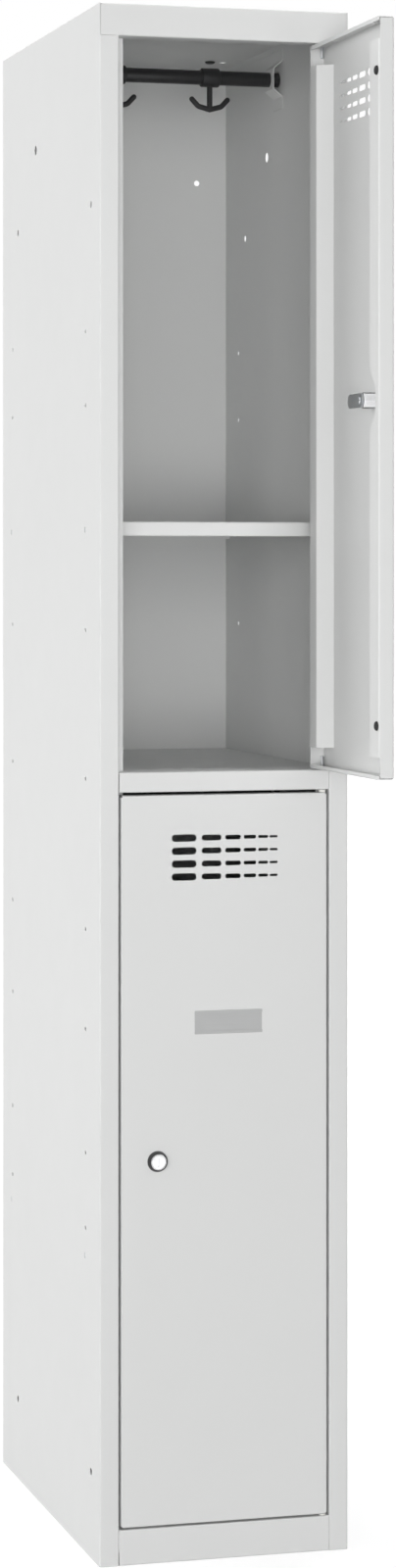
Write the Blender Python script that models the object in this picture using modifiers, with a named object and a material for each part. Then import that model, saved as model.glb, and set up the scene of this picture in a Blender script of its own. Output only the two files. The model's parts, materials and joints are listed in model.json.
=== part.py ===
"""Two-tier steel school locker, folded from thin sheet, with its upper door open.

Metres, +Z up, +X to the right and +Y to the back. The origin is at the middle of
the plinth's foot, the narrow flange that the locker's front stands on. The upper
door stands open at a right angle and the lower door is shut.
"""

import math

import bmesh
import bpy
from mathutils import Matrix, Vector

# Carcass: outer size and sheet
HEIGHT = 1.800
WIDTH = 0.300
DEPTH = 0.500
SHEET = 0.0008
BEND = 0.0018
BEND_STEPS = 3
SLOPE_STEPS = 2
FIT = 0.0003
OVERRUN = 0.004

# Carcass: face frame and folds
STILE = 0.023
FASCIA = 0.037
CROSSBAR = 0.023
PLINTH = 0.041
FOOT = 0.020
STOP_WIDTH = 0.010
STOP_LIP = 0.010
SIDE_REAR = 0.015
TRAY_SIDE = 0.007
TRAY_REAR = 0.015

# Fixing holes in the sides, the back and the top
FIXING_RADIUS = 0.0025
FIXING_FRONT = 0.067
FIXING_REAR = 0.0565
FIXING_HEIGHT_SHARES = (0.2106, 0.2592, 0.3396, 0.4044, 0.5019, 0.5985, 0.7443, 0.7922)
JOINING_RADIUS = 0.004
JOINING_FRONT = 0.041
JOINING_REAR = 0.086
JOINING_BELOW_TOP = 0.2285
JOINING_ABOVE_FLOOR = 0.1005
DISH_RADIUS = 0.011
DISH_HOLE_RADIUS = 0.006
DISH_SINK = 0.0005
DISH_BACK = 0.3195
DISH_BELOW_TOP = 0.1347
WALL_HOLE_RADIUS = 0.0035
WALL_HOLE_FROM_SIDE = 0.0413
WALL_HOLE_BELOW_TOP = 0.150
VENT_HOLE_RADIUS = 0.0042
VENT_HOLE_FROM_SIDE = 0.0246
VENT_HOLE_FROM_REAR = 0.065

# Ceiling plug
PLUG_RADIUS = 0.0067
PLUG_TIP_RADIUS = 0.004
PLUG_PROUD = 0.003
PLUG_STEM_RADIUS = 0.003
PLUG_FROM_SIDE = 0.0439
PLUG_FROM_REAR = 0.073

# Shelves and the pegs that carry them
SHELF_THICK = 0.017
SHELF_FRONT = 0.045
SHELF_REAR = 0.027
SHELF_SIDE_GAP = 0.0015
SHELF_LIP = 0.010
UPPER_SHELF_HEIGHT = 0.2901
LOWER_SHELF_HEIGHT = 0.3147
PEG_RADIUS = 0.003
PEG_COLLAR_RADIUS = 0.0045
PEG_REACH = 0.010
PEG_SINK = 0.0002
PEG_DROP = 0.0093
PEG_FRONT = 0.024
PEG_CHAMFER = 0.0006

# Rail, its hat-shaped brackets and the sliding hooks
RAIL_RADIUS = 0.009
RAIL_WALL = 0.0012
RAIL_BACK = 0.270
RAIL_DROP = 0.0432
RAIL_END_GAP = 0.0005
BRACKET_DEPTH = 0.038
BRACKET_STANDOFF = 0.0115
BRACKET_PLATE = 0.024
BRACKET_RISE = 0.009
BRACKET_FLANGE = 0.0145
BRACKET_BEND = 0.0012
HOOK_ASIDE = 0.060
SLEEVE_LENGTH = 0.023
SLEEVE_RADIUS = 0.0117
SLEEVE_CHAMFER = 0.0025
STEM_RADIUS = 0.0034
ARM_RADIUS = 0.0033
HOOK_DROP = 0.0395
HOOK_KNEE_OUT = 0.0135
HOOK_KNEE_RISE = 0.0035
HOOK_TIP_OUT = 0.0235
HOOK_TIP_RISE = 0.0135
HOOK_SAG_SHARE = 0.25
HOOK_CURL_SHARE = 0.42

# Doors
DOOR_SIDE_GAP = 0.0025
DOOR_TOP_GAP = 0.0035
DOOR_BOTTOM_GAP = 0.0022
DOOR_THICK = 0.018
BOX_WIDTH = 0.026
BOX_SPREAD = 0.014
LIP_WIDTH = 0.031
LIP_INSET = 0.0247
UPPER_DOOR_ANGLE = math.radians(90)
LOWER_DOOR_ANGLE = math.radians(0)

# Door vents: the slots shrink from the free side to the hinge side
VENT_COLUMNS = 6
VENT_ROWS = 4
VENT_LENGTH = 0.0295
VENT_HEIGHT = 0.0084
VENT_SHRINK_SHARE = 0.8
VENT_SPACE = 0.0065
VENT_SPACE_SHARE = 0.73
VENT_BELOW_TOP = 0.050
VENT_PITCH = 0.015

# Hinge pins and their washers
PIN_INSET = 0.00475
PIN_BACK = 0.00425
PIN_RADIUS = 0.002
PIN_TAIL = 0.013
PIN_NOSE = 0.004
PIN_CHAMFER = 0.0005
WASHER_RADIUS = 0.004

# Bumpers on the free side's lip
BUMPER_RADIUS = 0.0054
BUMPER_PROUD = 0.0022
BUMPER_ROUND = 0.0012
BUMPER_NECK_RADIUS = 0.002
BUMPER_BARB_RADIUS = 0.003
BUMPER_BARB = 0.0025
BUMPER_FROM_END = 0.0595
BUMPER_FROM_EDGE = 0.006

# Label holder
LABEL_WIDTH = 0.081
LABEL_HEIGHT = 0.027
LABEL_SHEET = 0.0005
LABEL_BEND = 0.0008
LABEL_THICK = 0.0022
LABEL_LIP = 0.0035
LABEL_ABOVE_LOCK = 0.1591
LABEL_ASIDE = 0.004

# Cam lock
LOCK_INSET = 0.0433
LOCK_DROP = 0.001
BARREL_RADIUS = 0.0092
BARREL_PROUD = 0.0062
BARREL_REACH = 0.0230
BARREL_ROUND = 0.0012
ROSETTE_RADIUS = 0.0122
ROSETTE_TIP_RADIUS = 0.0102
ROSETTE_PROUD = 0.0070
FACE_RADIUS = 0.0083
FACE_THICK = 0.0020
FACE_ROUND = 0.0006
PLUG_BODY_RADIUS = 0.006
KEY_SLOT_WIDTH = 0.0012
KEY_SLOT_LENGTH = 0.0105
KEY_SLOT_DEPTH = 0.010
TAIL_SIDE = 0.007
CLIP_RADIUS = 0.0130
CLIP_THICK = 0.0010
CLIP_GROOVE = 0.0008
CLIP_MOUTH_SHARE = 0.9
CAM_THICK = 0.002
CAM_GAP = 0.0003
CAM_WIDTH = 0.016
CAM_LENGTH = 0.043
SCREW_HEAD_RADIUS = 0.0042
SCREW_HEAD = 0.0022
SCREW_ROUND = 0.0010
SCREW_SHANK_RADIUS = 0.0018
SCREW_SHANK = 0.008
SCREW_SLOT_WIDTH = 0.001
SCREW_SLOT_DEPTH = 0.001
NOTCH_DEPTH = 0.0195
NOTCH_MOUTH = 0.066
NOTCH_FLOOR = 0.032

# Facets round a full turn; a slot's punch needs a multiple of four
FINE = 18
ROUND = 12
SMALL = 8
SLOT = 12

X = Vector((1, 0, 0))
Y = Vector((0, 1, 0))
Z = Vector((0, 0, 1))
RIGHT_ANGLE = math.radians(90)
NEAR = 1e-6

# Finishes: colour, roughness, metallic
POWDER_GREY = ((0.72, 0.725, 0.72), 0.45, 0.0)
LABEL_GREY = ((0.46, 0.47, 0.47), 0.40, 0.3)
BLACK_PLASTIC = ((0.016, 0.016, 0.017), 0.45, 0.0)
BLACK_COAT = ((0.018, 0.018, 0.019), 0.35, 0.0)
RUBBER = ((0.012, 0.012, 0.012), 0.75, 0.0)
CHROME = ((0.78, 0.78, 0.80), 0.15, 1.0)
ZINC = ((0.60, 0.60, 0.58), 0.35, 1.0)
NYLON = ((0.86, 0.86, 0.84), 0.50, 0.0)

# Places worked out from the sizes above
FRONT = -FOOT / 2
STOP_BACK = DOOR_THICK + BUMPER_PROUD + 2 * FIT
INSIDE = WIDTH / 2 - SHEET
REVEAL = WIDTH / 2 - STILE
OPENING = (HEIGHT - FASCIA - CROSSBAR - PLINTH) / 2
LOWER_FLOOR = PLINTH
UPPER_FLOOR = PLINTH + OPENING + CROSSBAR
BACK_FACE = DEPTH - SHEET - FIT
TRAY_BACK = BACK_FACE - SHEET - FIT
TRAY_HALF = INSIDE - FIT
TONGUE_HALF = REVEAL - FIT
SHOULDER = STOP_BACK + SHEET + FIT
DOOR_WIDTH = 2 * (REVEAL - DOOR_SIDE_GAP)
DOOR_HEIGHT = OPENING - DOOR_TOP_GAP - DOOR_BOTTOM_GAP
DOOR_EDGE = REVEAL - DOOR_SIDE_GAP
PIN_X = DOOR_EDGE - PIN_INSET
PIN_Y = FRONT + PIN_BACK
FREE_EDGE = PIN_INSET - DOOR_WIDTH
DOOR_MIDDLE = PIN_INSET - DOOR_WIDTH / 2
SHELF_HALF = INSIDE - SHELF_SIDE_GAP


def clear_scene():
    for obj in list(bpy.data.objects):
        bpy.data.objects.remove(obj)


def new_collection(name):
    found = bpy.data.collections.new(name)
    bpy.context.scene.collection.children.link(found)
    return found


clear_scene()
PARTS = new_collection("school_locker")
CUTTERS = new_collection("cutters")


def finish_material(name, finish):
    colour, roughness, metallic = finish
    material = bpy.data.materials.new(name + "_finish")
    material.use_nodes = True
    shader = material.node_tree.nodes["Principled BSDF"]
    shader.inputs["Base Color"].default_value = (*colour, 1.0)
    shader.inputs["Roughness"].default_value = roughness
    shader.inputs["Metallic"].default_value = metallic
    return material


def place(obj, at=(0, 0, 0), turn=(0, 0, 0), parent=None):
    obj.location = at
    obj.rotation_euler = turn
    obj.parent = parent
    return obj


def part_from(bm, name, finish):
    mesh = bpy.data.meshes.new(name)
    bm.to_mesh(mesh)
    bm.free()
    mesh.materials.append(finish_material(name, finish))
    obj = bpy.data.objects.new(name, mesh)
    PARTS.objects.link(obj)
    return obj


def cutter_from(bm, name):
    mesh = bpy.data.meshes.new(name)
    bm.to_mesh(mesh)
    bm.free()
    return as_cutter(bpy.data.objects.new(name, mesh))


def as_cutter(obj):
    for collection in list(obj.users_collection):
        collection.objects.unlink(obj)
    CUTTERS.objects.link(obj)
    obj.hide_render = True
    obj.display_type = "WIRE"
    return obj


def combine(obj, other, operation):
    change = obj.modifiers.new(other.name, "BOOLEAN")
    change.operation = operation
    change.solver = "EXACT"
    change.object = other
    return obj


def new_pivot(name, at, turn=(0, 0, 0), parent=None):
    pivot = bpy.data.objects.new(name, None)
    PARTS.objects.link(pivot)
    return place(pivot, at, turn, parent)


def round_hole(radius, sides):
    """Radius of a polygon's corners whose flats lie on a circle of the given radius."""
    return radius / math.cos(math.pi / sides)


# Folded sheet: a blank is scored, then its free edges are bent as on a press

def add_blank(bm, low, high):
    """Add one rectangle between two corners that share one coordinate."""
    low = Vector(low)
    high = Vector(high)
    across = [i for i in range(3) if low[i] != high[i]]
    corners = bmesh.ops.create_grid(bm, x_segments=1, y_segments=1, size=1)["verts"]
    for corner in corners:
        unit = corner.co.copy()
        corner.co = low
        for axis, side in zip(across, unit):
            if side > 0:
                corner.co[axis] = high[axis]


def score(bm, axis, *places):
    """Divide the blank along lines square to an axis."""
    for spot in places:
        geometry = bm.verts[:] + bm.edges[:] + bm.faces[:]
        bmesh.ops.bisect_plane(bm, geom=geometry, dist=NEAR, plane_co=axis * spot, plane_no=axis)


def free_edges(bm, axis, spot, along, low, high):
    """Free edges that lie at one place on an axis, with their middle between low and high."""
    found = []
    for edge in bm.edges:
        ends = [vert.co for vert in edge.verts]
        level = all(abs(end.dot(axis) - spot) < NEAR for end in ends)
        middle = (ends[0] + ends[1]).dot(along) / 2
        if edge.is_boundary and level and low < middle < high:
            found.append(edge)
    return found


def pick(edges, along, low, high):
    return [e for e in edges if low < (e.verts[0].co + e.verts[1].co).dot(along) / 2 < high]


def run_flat(bm, edges, heading, length):
    """Carry the sheet on, flat, from a row of edges."""
    grown = bmesh.ops.extrude_edge_only(bm, edges=edges)["geom"]
    tips = [item for item in grown if isinstance(item, bmesh.types.BMVert)]
    bmesh.ops.translate(bm, verts=tips, vec=heading * length)
    moved = set(tips)
    rows = [item for item in grown if isinstance(item, bmesh.types.BMEdge)]
    return [edge for edge in rows if moved.issuperset(edge.verts)]


def fold(bm, edges, ahead, towards, radius, length, angle=RIGHT_ANGLE, steps=BEND_STEPS):
    """Bend the sheet from the way it heads towards another way, then run it flat."""
    corners = list({vert for edge in edges for vert in edge.verts})
    spun = bmesh.ops.spin(
        bm,
        geom=edges + corners,
        cent=corners[0].co + towards * radius,
        axis=ahead.cross(towards),
        angle=angle,
        steps=steps,
    )
    bent = [item for item in spun["geom_last"] if isinstance(item, bmesh.types.BMEdge)]
    heading = ahead * math.cos(angle) + towards * math.sin(angle)
    return run_flat(bm, bent, heading, length)


def thicken(bm, name, finish, skin, sheet=SHEET):
    """Give the folded surface its wall, on the side away from the skin's outer side."""
    bmesh.ops.recalc_face_normals(bm, faces=bm.faces)
    widest = max(bm.faces, key=lambda face: face.calc_area())
    if widest.normal.dot(skin) < 0:
        bmesh.ops.reverse_faces(bm, faces=bm.faces)
    obj = part_from(bm, name, finish)
    wall = obj.modifiers.new("wall", "SOLIDIFY")
    wall.thickness = sheet
    wall.offset = -1
    wall.use_even_offset = True
    return obj


# Cutter shapes, several of which can share one cutter

def add_drill(bm, at, axis, radius, length, sides=SMALL):
    """Add a closed cylinder centred on a point, with its flats on the radius."""
    turn = Z.rotation_difference(axis).to_matrix().to_4x4()
    bmesh.ops.create_cone(
        bm,
        cap_ends=True,
        segments=sides,
        radius1=round_hole(radius, sides),
        radius2=round_hole(radius, sides),
        depth=length,
        matrix=Matrix.Translation(at) @ turn,
    )


def add_slot_punch(bm, at, axis, length, height, depth):
    """Add a round-ended slot's punch, long across X, by drawing a cylinder's halves apart."""
    radius = height / 2
    stretch = length / 2 - radius
    turn = Matrix.Rotation(math.pi / SLOT, 4, "Z")
    cone = bmesh.ops.create_cone(
        bm,
        cap_ends=True,
        segments=SLOT,
        radius1=round_hole(radius, SLOT),
        radius2=round_hole(radius, SLOT),
        depth=depth,
        matrix=turn,
    )
    for vert in cone["verts"]:
        vert.co.x += math.copysign(stretch, vert.co.x)
    tilt = Z.rotation_difference(axis).to_matrix().to_4x4()
    bmesh.ops.transform(bm, matrix=Matrix.Translation(at) @ tilt, verts=cone["verts"])


def add_block(bm, at, size):
    """Add a box of the given size centred on a point."""
    scale = Matrix.Diagonal((*size, 1))
    return bmesh.ops.create_cube(bm, size=1, matrix=Matrix.Translation(at) @ scale)["verts"]


def turned(name, finish, outline, sides, closed=False):
    """Turn an outline of (radius, height) points, listed from top to bottom, about Z."""
    bm = bmesh.new()
    verts = [bm.verts.new((radius, 0, height)) for radius, height in outline]
    for pair in zip(verts, verts[1:]):
        bm.edges.new(pair)
    if closed:
        bm.edges.new((verts[-1], verts[0]))
    obj = part_from(bm, name, finish)
    lathe = obj.modifiers.new("lathe", "SCREW")
    lathe.steps = sides
    lathe.render_steps = sides
    lathe.use_merge_vertices = True
    lathe.merge_threshold = 0.00001
    return obj


# Carcass

def side_panel(name, hand):
    """Side folded in front to a stile, its return and the door's stop, and behind to a flange."""
    wall = hand * WIDTH / 2
    inward = X * -hand
    stile_top = HEIGHT - FASCIA - FIT
    upper_stop = (UPPER_FLOOR + FIT, stile_top)
    lower_stop = (LOWER_FLOOR + FIT, UPPER_FLOOR - CROSSBAR - FIT)
    bm = bmesh.new()
    front = FRONT + BEND
    rear = FRONT + DEPTH - BEND
    add_blank(bm, (wall, front, 0), (wall, rear, HEIGHT))
    score(bm, Z, *lower_stop, *upper_stop)
    plain = free_edges(bm, Y, front, Z, stile_top, HEIGHT)
    run_flat(bm, plain, -Y, BEND - FIT)
    edges = free_edges(bm, Y, front, Z, 0, stile_top)
    edges = fold(bm, edges, -Y, inward, BEND, STILE - 2 * BEND)
    edges = fold(bm, edges, inward, Y, BEND, STOP_BACK - BEND - (BEND - SHEET))
    stops = pick(edges, Z, *lower_stop) + pick(edges, Z, *upper_stop)
    fold(bm, stops, Y, inward, BEND - SHEET, STOP_WIDTH - (BEND - SHEET))
    edges = free_edges(bm, Y, rear, Z, 0, HEIGHT)
    fold(bm, edges, Y, inward, BEND, SIDE_REAR - BEND)
    side = thicken(bm, name, POWDER_GREY, X * hand)
    combine(side, side_drills(name + "_drills", hand), "DIFFERENCE")
    return combine(side, dish_punch(name + "_dish", hand), "DIFFERENCE")


def side_drills(name, hand):
    """Fixing, joining and peg holes through one side."""
    wall = hand * (WIDTH - SHEET) / 2
    through = SHEET + OVERRUN
    bm = bmesh.new()
    for share in FIXING_HEIGHT_SHARES:
        for back in (FIXING_FRONT, DEPTH - FIXING_REAR):
            add_drill(bm, (wall, FRONT + back, HEIGHT * share), X, FIXING_RADIUS, through)
    for height in (JOINING_ABOVE_FLOOR, HEIGHT - JOINING_BELOW_TOP):
        for back in (JOINING_FRONT, DEPTH - JOINING_REAR):
            add_drill(bm, (wall, FRONT + back, height), X, JOINING_RADIUS, through)
    for height in (UPPER_FLOOR + UPPER_SHELF_HEIGHT, LOWER_FLOOR + LOWER_SHELF_HEIGHT):
        for back in peg_places():
            add_drill(bm, (wall, back, height - PEG_DROP), X, PEG_RADIUS + FIT, through)
    return cutter_from(bm, name)


def dish_punch(name, hand):
    """Turned punch for the larger hole, whose cone dishes the outer face round it."""
    slope = (DISH_RADIUS - DISH_HOLE_RADIUS) / DISH_SINK
    outline = (
        (0, OVERRUN),
        (DISH_RADIUS + OVERRUN * slope, OVERRUN),
        (DISH_HOLE_RADIUS, -DISH_SINK),
        (DISH_HOLE_RADIUS, -SHEET - OVERRUN),
        (0, -SHEET - OVERRUN),
    )
    punch = turned(name, POWDER_GREY, outline, ROUND)
    at = (hand * WIDTH / 2, FRONT + DISH_BACK, HEIGHT - DISH_BELOW_TOP)
    return as_cutter(place(punch, at, (0, hand * RIGHT_ANGLE, 0)))


def back_panel():
    """Flat sheet between the sides, in front of their rear flanges."""
    half = INSIDE - (BEND - SHEET) - FIT
    outer = FRONT + BACK_FACE
    bm = bmesh.new()
    add_blank(bm, (-half, outer, FIT), (half, outer, HEIGHT - FIT))
    panel = thicken(bm, "back_panel", POWDER_GREY, Y)
    bm = bmesh.new()
    aside = WIDTH / 2 - WALL_HOLE_FROM_SIDE
    for hand in (-1, 1):
        at = (hand * aside, outer, HEIGHT - WALL_HOLE_BELOW_TOP)
        add_drill(bm, at, Y, WALL_HOLE_RADIUS, SHEET + OVERRUN, ROUND)
    return combine(panel, cutter_from(bm, "back_panel_drills"), "DIFFERENCE")


def drill_pin_holes(panel, levels, others=()):
    """Drill the hinge pins' holes, and any further ones in the top, through level sheets."""
    through = SHEET + OVERRUN
    bm = bmesh.new()
    for level in levels:
        add_drill(bm, (PIN_X, PIN_Y, level), Z, PIN_RADIUS + FIT, through, ROUND)
    for from_side, from_rear, radius in others:
        at = (WIDTH / 2 - from_side, FRONT + DEPTH - from_rear, HEIGHT)
        add_drill(bm, at, Z, radius, through, ROUND)
    return combine(panel, cutter_from(bm, panel.name + "_drills"), "DIFFERENCE")


def top_panel():
    """Top folded down at the sides and the back, and in front to the fascia and its stop."""
    bm = bmesh.new()
    front = FRONT + BEND
    rear = FRONT + TRAY_BACK - BEND
    half = TRAY_HALF - BEND
    add_blank(bm, (-half, front, HEIGHT), (half, rear, HEIGHT))
    score(bm, X, -TONGUE_HALF, TONGUE_HALF)
    edges = free_edges(bm, Y, front, X, -half, half)
    edges = fold(bm, edges, -Y, -Z, BEND, FASCIA - 2 * BEND)
    ends = pick(edges, X, -half, -TONGUE_HALF) + pick(edges, X, TONGUE_HALF, half)
    tongue = pick(edges, X, -TONGUE_HALF, TONGUE_HALF)
    run_flat(bm, ends, -Z, BEND)
    tongue = fold(bm, tongue, -Z, Y, BEND, STOP_BACK - 2 * BEND)
    fold(bm, tongue, Y, Z, BEND, STOP_LIP - BEND)
    for hand in (-1, 1):
        edges = free_edges(bm, X, hand * half, Z, HEIGHT - FASCIA, HEIGHT - BEND)
        run_flat(bm, edges, X * hand, BEND)
    fold_tray_edges(bm, HEIGHT, half, front, rear)
    panel = thicken(bm, "top_panel", POWDER_GREY, Z)
    plug_hole = (PLUG_FROM_SIDE, PLUG_FROM_REAR, PLUG_STEM_RADIUS + FIT)
    vent_hole = (VENT_HOLE_FROM_SIDE, VENT_HOLE_FROM_REAR, VENT_HOLE_RADIUS)
    return drill_pin_holes(panel, (HEIGHT - FASCIA,), (plug_hole, vent_hole))


def fold_tray_edges(bm, level, half, front, rear):
    """Fold a level sheet's two sides and its back down to short flanges."""
    for hand in (-1, 1):
        edges = free_edges(bm, X, hand * half, Y, front, rear)
        edges = [edge for edge in edges if abs(edge.verts[0].co.z - level) < NEAR]
        fold(bm, edges, X * hand, -Z, BEND, TRAY_SIDE - BEND)
    edges = free_edges(bm, Y, rear, X, -half, half)
    fold(bm, edges, Y, -Z, BEND, TRAY_REAR - BEND)


def floor_tray(name, level, bar, under):
    """Compartment floor whose front tongue, between the stiles, folds down to a bar."""
    bm = bmesh.new()
    front = FRONT + BEND
    shoulder = FRONT + SHOULDER
    rear = FRONT + TRAY_BACK - BEND
    half = TRAY_HALF - BEND
    add_blank(bm, (-half, shoulder, level), (half, rear, level))
    score(bm, X, -TONGUE_HALF, TONGUE_HALF)
    tongue = free_edges(bm, Y, shoulder, X, -TONGUE_HALF, TONGUE_HALF)
    tongue = run_flat(bm, tongue, -Y, SHOULDER - BEND)
    tongue = fold(bm, tongue, -Y, -Z, BEND, bar - 2 * BEND)
    tongue = fold(bm, tongue, -Z, Y, BEND, under - 2 * BEND)
    fold(bm, tongue, Y, Z, BEND, STOP_LIP - BEND)
    fold_tray_edges(bm, level, half, shoulder, rear)
    return thicken(bm, name, POWDER_GREY, Z)


def carcass():
    side_panel("left_side", -1)
    side_panel("right_side", 1)
    back_panel()
    top_panel()
    divider = floor_tray("middle_shelf", UPPER_FLOOR, CROSSBAR, STOP_BACK)
    drill_pin_holes(divider, (UPPER_FLOOR, UPPER_FLOOR - CROSSBAR))
    floor = floor_tray("bottom_panel", LOWER_FLOOR, PLINTH, FOOT)
    drill_pin_holes(floor, (LOWER_FLOOR,))
    ceiling_plug()


def ceiling_plug():
    """Push-in plug that closes a hole in the top from inside."""
    ceiling = HEIGHT - SHEET - FIT
    stem = (
        (0, HEIGHT),
        (PLUG_STEM_RADIUS, HEIGHT),
        (PLUG_STEM_RADIUS, ceiling),
        (PLUG_RADIUS, ceiling),
        (PLUG_TIP_RADIUS, ceiling - PLUG_PROUD),
        (0, ceiling - PLUG_PROUD),
    )
    plug = turned("ceiling_plug", BLACK_PLASTIC, stem, ROUND)
    return place(plug, (WIDTH / 2 - PLUG_FROM_SIDE, FRONT + DEPTH - PLUG_FROM_REAR, 0))


# Shelves and pegs

def peg_places():
    return (FRONT + SHELF_FRONT + PEG_FRONT, FRONT + DEPTH - SHELF_REAR - PEG_FRONT)


def shelf(name, level):
    """Loose shelf: a shallow tray whose side flanges hook over four pegs."""
    bm = bmesh.new()
    front = FRONT + SHELF_FRONT + BEND
    rear = FRONT + DEPTH - SHELF_REAR - BEND
    half = SHELF_HALF - BEND
    drop = SHELF_THICK - BEND
    add_blank(bm, (-half, front, level), (half, rear, level))
    for hand in (-1, 1):
        edges = free_edges(bm, X, hand * half, Y, front, rear)
        fold(bm, edges, X * hand, -Z, BEND, drop)
    fold(bm, free_edges(bm, Y, rear, X, -half, half), Y, -Z, BEND, drop)
    edges = free_edges(bm, Y, front, X, -half, half)
    edges = fold(bm, edges, -Y, -Z, BEND, drop - BEND)
    fold(bm, edges, -Z, Y, BEND, SHELF_LIP - BEND)
    tray = thicken(bm, name, POWDER_GREY, Z)
    return combine(tray, shelf_slots(name + "_slots", level), "DIFFERENCE")


def shelf_slots(name, level):
    """Slots, open below, that let the side flanges down over the pegs."""
    bm = bmesh.new()
    wide = 2 * (PEG_RADIUS + FIT)
    top = level - PEG_DROP + wide / 2
    tall = top - level + SHELF_THICK + wide / 2 + OVERRUN
    for back in peg_places():
        for hand in (-1, 1):
            at = (hand * (SHELF_HALF - SHEET / 2), back, top - tall / 2)
            add_slot_punch(bm, at, X, tall, wide, SHEET + OVERRUN / 2)
    return cutter_from(bm, name)


def shelf_peg(name, hand, back, level):
    """Peg through a side, with a collar against the wall's inner face."""
    collar_out = SHEET + FIT
    collar_in = SHEET + SHELF_SIDE_GAP - FIT
    tip = SHEET + PEG_REACH
    outline = (
        (0, -PEG_SINK),
        (PEG_RADIUS, -PEG_SINK),
        (PEG_RADIUS, -collar_out),
        (PEG_COLLAR_RADIUS, -collar_out),
        (PEG_COLLAR_RADIUS, -collar_in),
        (PEG_RADIUS, -collar_in),
        (PEG_RADIUS, PEG_CHAMFER - tip),
        (PEG_RADIUS - PEG_CHAMFER, -tip),
        (0, -tip),
    )
    peg = turned(name, ZINC, outline, SMALL)
    return place(peg, (hand * WIDTH / 2, back, level - PEG_DROP), (0, hand * RIGHT_ANGLE, 0))


def shelf_pegs(tier, level):
    first, last = peg_places()
    for hand, side in ((-1, "left"), (1, "right")):
        shelf_peg("%s_%s_front_peg" % (tier, side), hand, first, level)
        shelf_peg("%s_%s_rear_peg" % (tier, side), hand, last, level)


# Rails, brackets and hooks

def rail_bracket(name, hand, level):
    """Hat-shaped strap on the wall: flange, slope, plate with the rail's hole, slope, flange."""
    wall = hand * (INSIDE - FIT)
    inward = X * -hand
    slope = math.atan2(BRACKET_STANDOFF, BRACKET_RISE)
    ramp = (BRACKET_STANDOFF - 2 * BRACKET_BEND * (1 - math.cos(slope))) / math.sin(slope)
    climb = 2 * BRACKET_BEND * math.sin(slope) + ramp * math.cos(slope)
    tilt = inward * math.sin(slope) + Z * math.cos(slope)
    lean = inward * -math.sin(slope) + Z * math.cos(slope)
    tilt_in = inward * math.cos(slope) - Z * math.sin(slope)
    lean_in = inward * math.cos(slope) + Z * math.sin(slope)
    start = level - BRACKET_PLATE / 2 - climb
    near = FRONT + RAIL_BACK - BRACKET_DEPTH / 2
    far = near + BRACKET_DEPTH
    bm = bmesh.new()
    add_blank(bm, (wall, near, start - BRACKET_FLANGE), (wall, far, start))
    edges = free_edges(bm, Z, start, Y, near, far)
    edges = fold(bm, edges, Z, inward, BRACKET_BEND, ramp, slope, SLOPE_STEPS)
    edges = fold(bm, edges, tilt, -tilt_in, BRACKET_BEND, BRACKET_PLATE, slope, SLOPE_STEPS)
    edges = fold(bm, edges, Z, -inward, BRACKET_BEND, ramp, slope, SLOPE_STEPS)
    fold(bm, edges, lean, lean_in, BRACKET_BEND, BRACKET_FLANGE, slope, SLOPE_STEPS)
    bracket = thicken(bm, name, POWDER_GREY, X * hand)
    bm = bmesh.new()
    plate = hand * (INSIDE - BRACKET_STANDOFF)
    add_drill(bm, (plate, FRONT + RAIL_BACK, level), X, RAIL_RADIUS + FIT, BRACKET_STANDOFF, FINE)
    return combine(bracket, cutter_from(bm, name + "_drill"), "DIFFERENCE")


def rail(name, level):
    """Black tube that runs through both brackets, nearly to the walls."""
    half = INSIDE - RAIL_END_GAP
    bore = RAIL_RADIUS - RAIL_WALL
    outline = ((bore, half), (RAIL_RADIUS, half), (RAIL_RADIUS, -half), (bore, -half))
    tube = turned(name, BLACK_COAT, outline, FINE, closed=True)
    pivot = new_pivot(name + "_pivot", (0, FRONT + RAIL_BACK, level))
    place(tube, turn=(0, RIGHT_ANGLE, 0), parent=pivot)
    return pivot


def add_rod(name, points, radius):
    """Round rod along hand-set points, as a mesh with its end caps welded on."""
    curve = bpy.data.curves.new(name, "CURVE")
    curve.dimensions = "3D"
    curve.bevel_depth = radius
    curve.bevel_resolution = 2
    curve.use_fill_caps = True
    line = curve.splines.new("POLY")
    line.points.add(len(points) - 1)
    for point, spot in zip(line.points, points):
        point.co = (*spot, 1)
    guide = bpy.data.objects.new(name, curve)
    CUTTERS.objects.link(guide)
    graph = bpy.context.evaluated_depsgraph_get()
    mesh = bpy.data.meshes.new_from_object(guide.evaluated_get(graph))
    bpy.data.objects.remove(guide)
    bm = bmesh.new()
    bm.from_mesh(mesh)
    bpy.data.meshes.remove(mesh)
    bmesh.ops.remove_doubles(bm, verts=bm.verts, dist=NEAR)
    return cutter_from(bm, name)


def arm_points():
    """Anchor-shaped bow: two knees, with each bend eased by a middle point."""
    curl_out = (HOOK_KNEE_OUT + HOOK_TIP_OUT) / 2
    curl_rise = (HOOK_KNEE_RISE + HOOK_TIP_RISE) * HOOK_CURL_SHARE
    half = (
        (HOOK_KNEE_OUT / 2, HOOK_KNEE_RISE * HOOK_SAG_SHARE - HOOK_DROP),
        (HOOK_KNEE_OUT, HOOK_KNEE_RISE - HOOK_DROP),
        (curl_out, curl_rise - HOOK_DROP),
        (HOOK_TIP_OUT, HOOK_TIP_RISE - HOOK_DROP),
    )
    left = [(-aside, 0, height) for aside, height in reversed(half)]
    right = [(aside, 0, height) for aside, height in half]
    return left + [(0, 0, -HOOK_DROP)] + right


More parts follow.
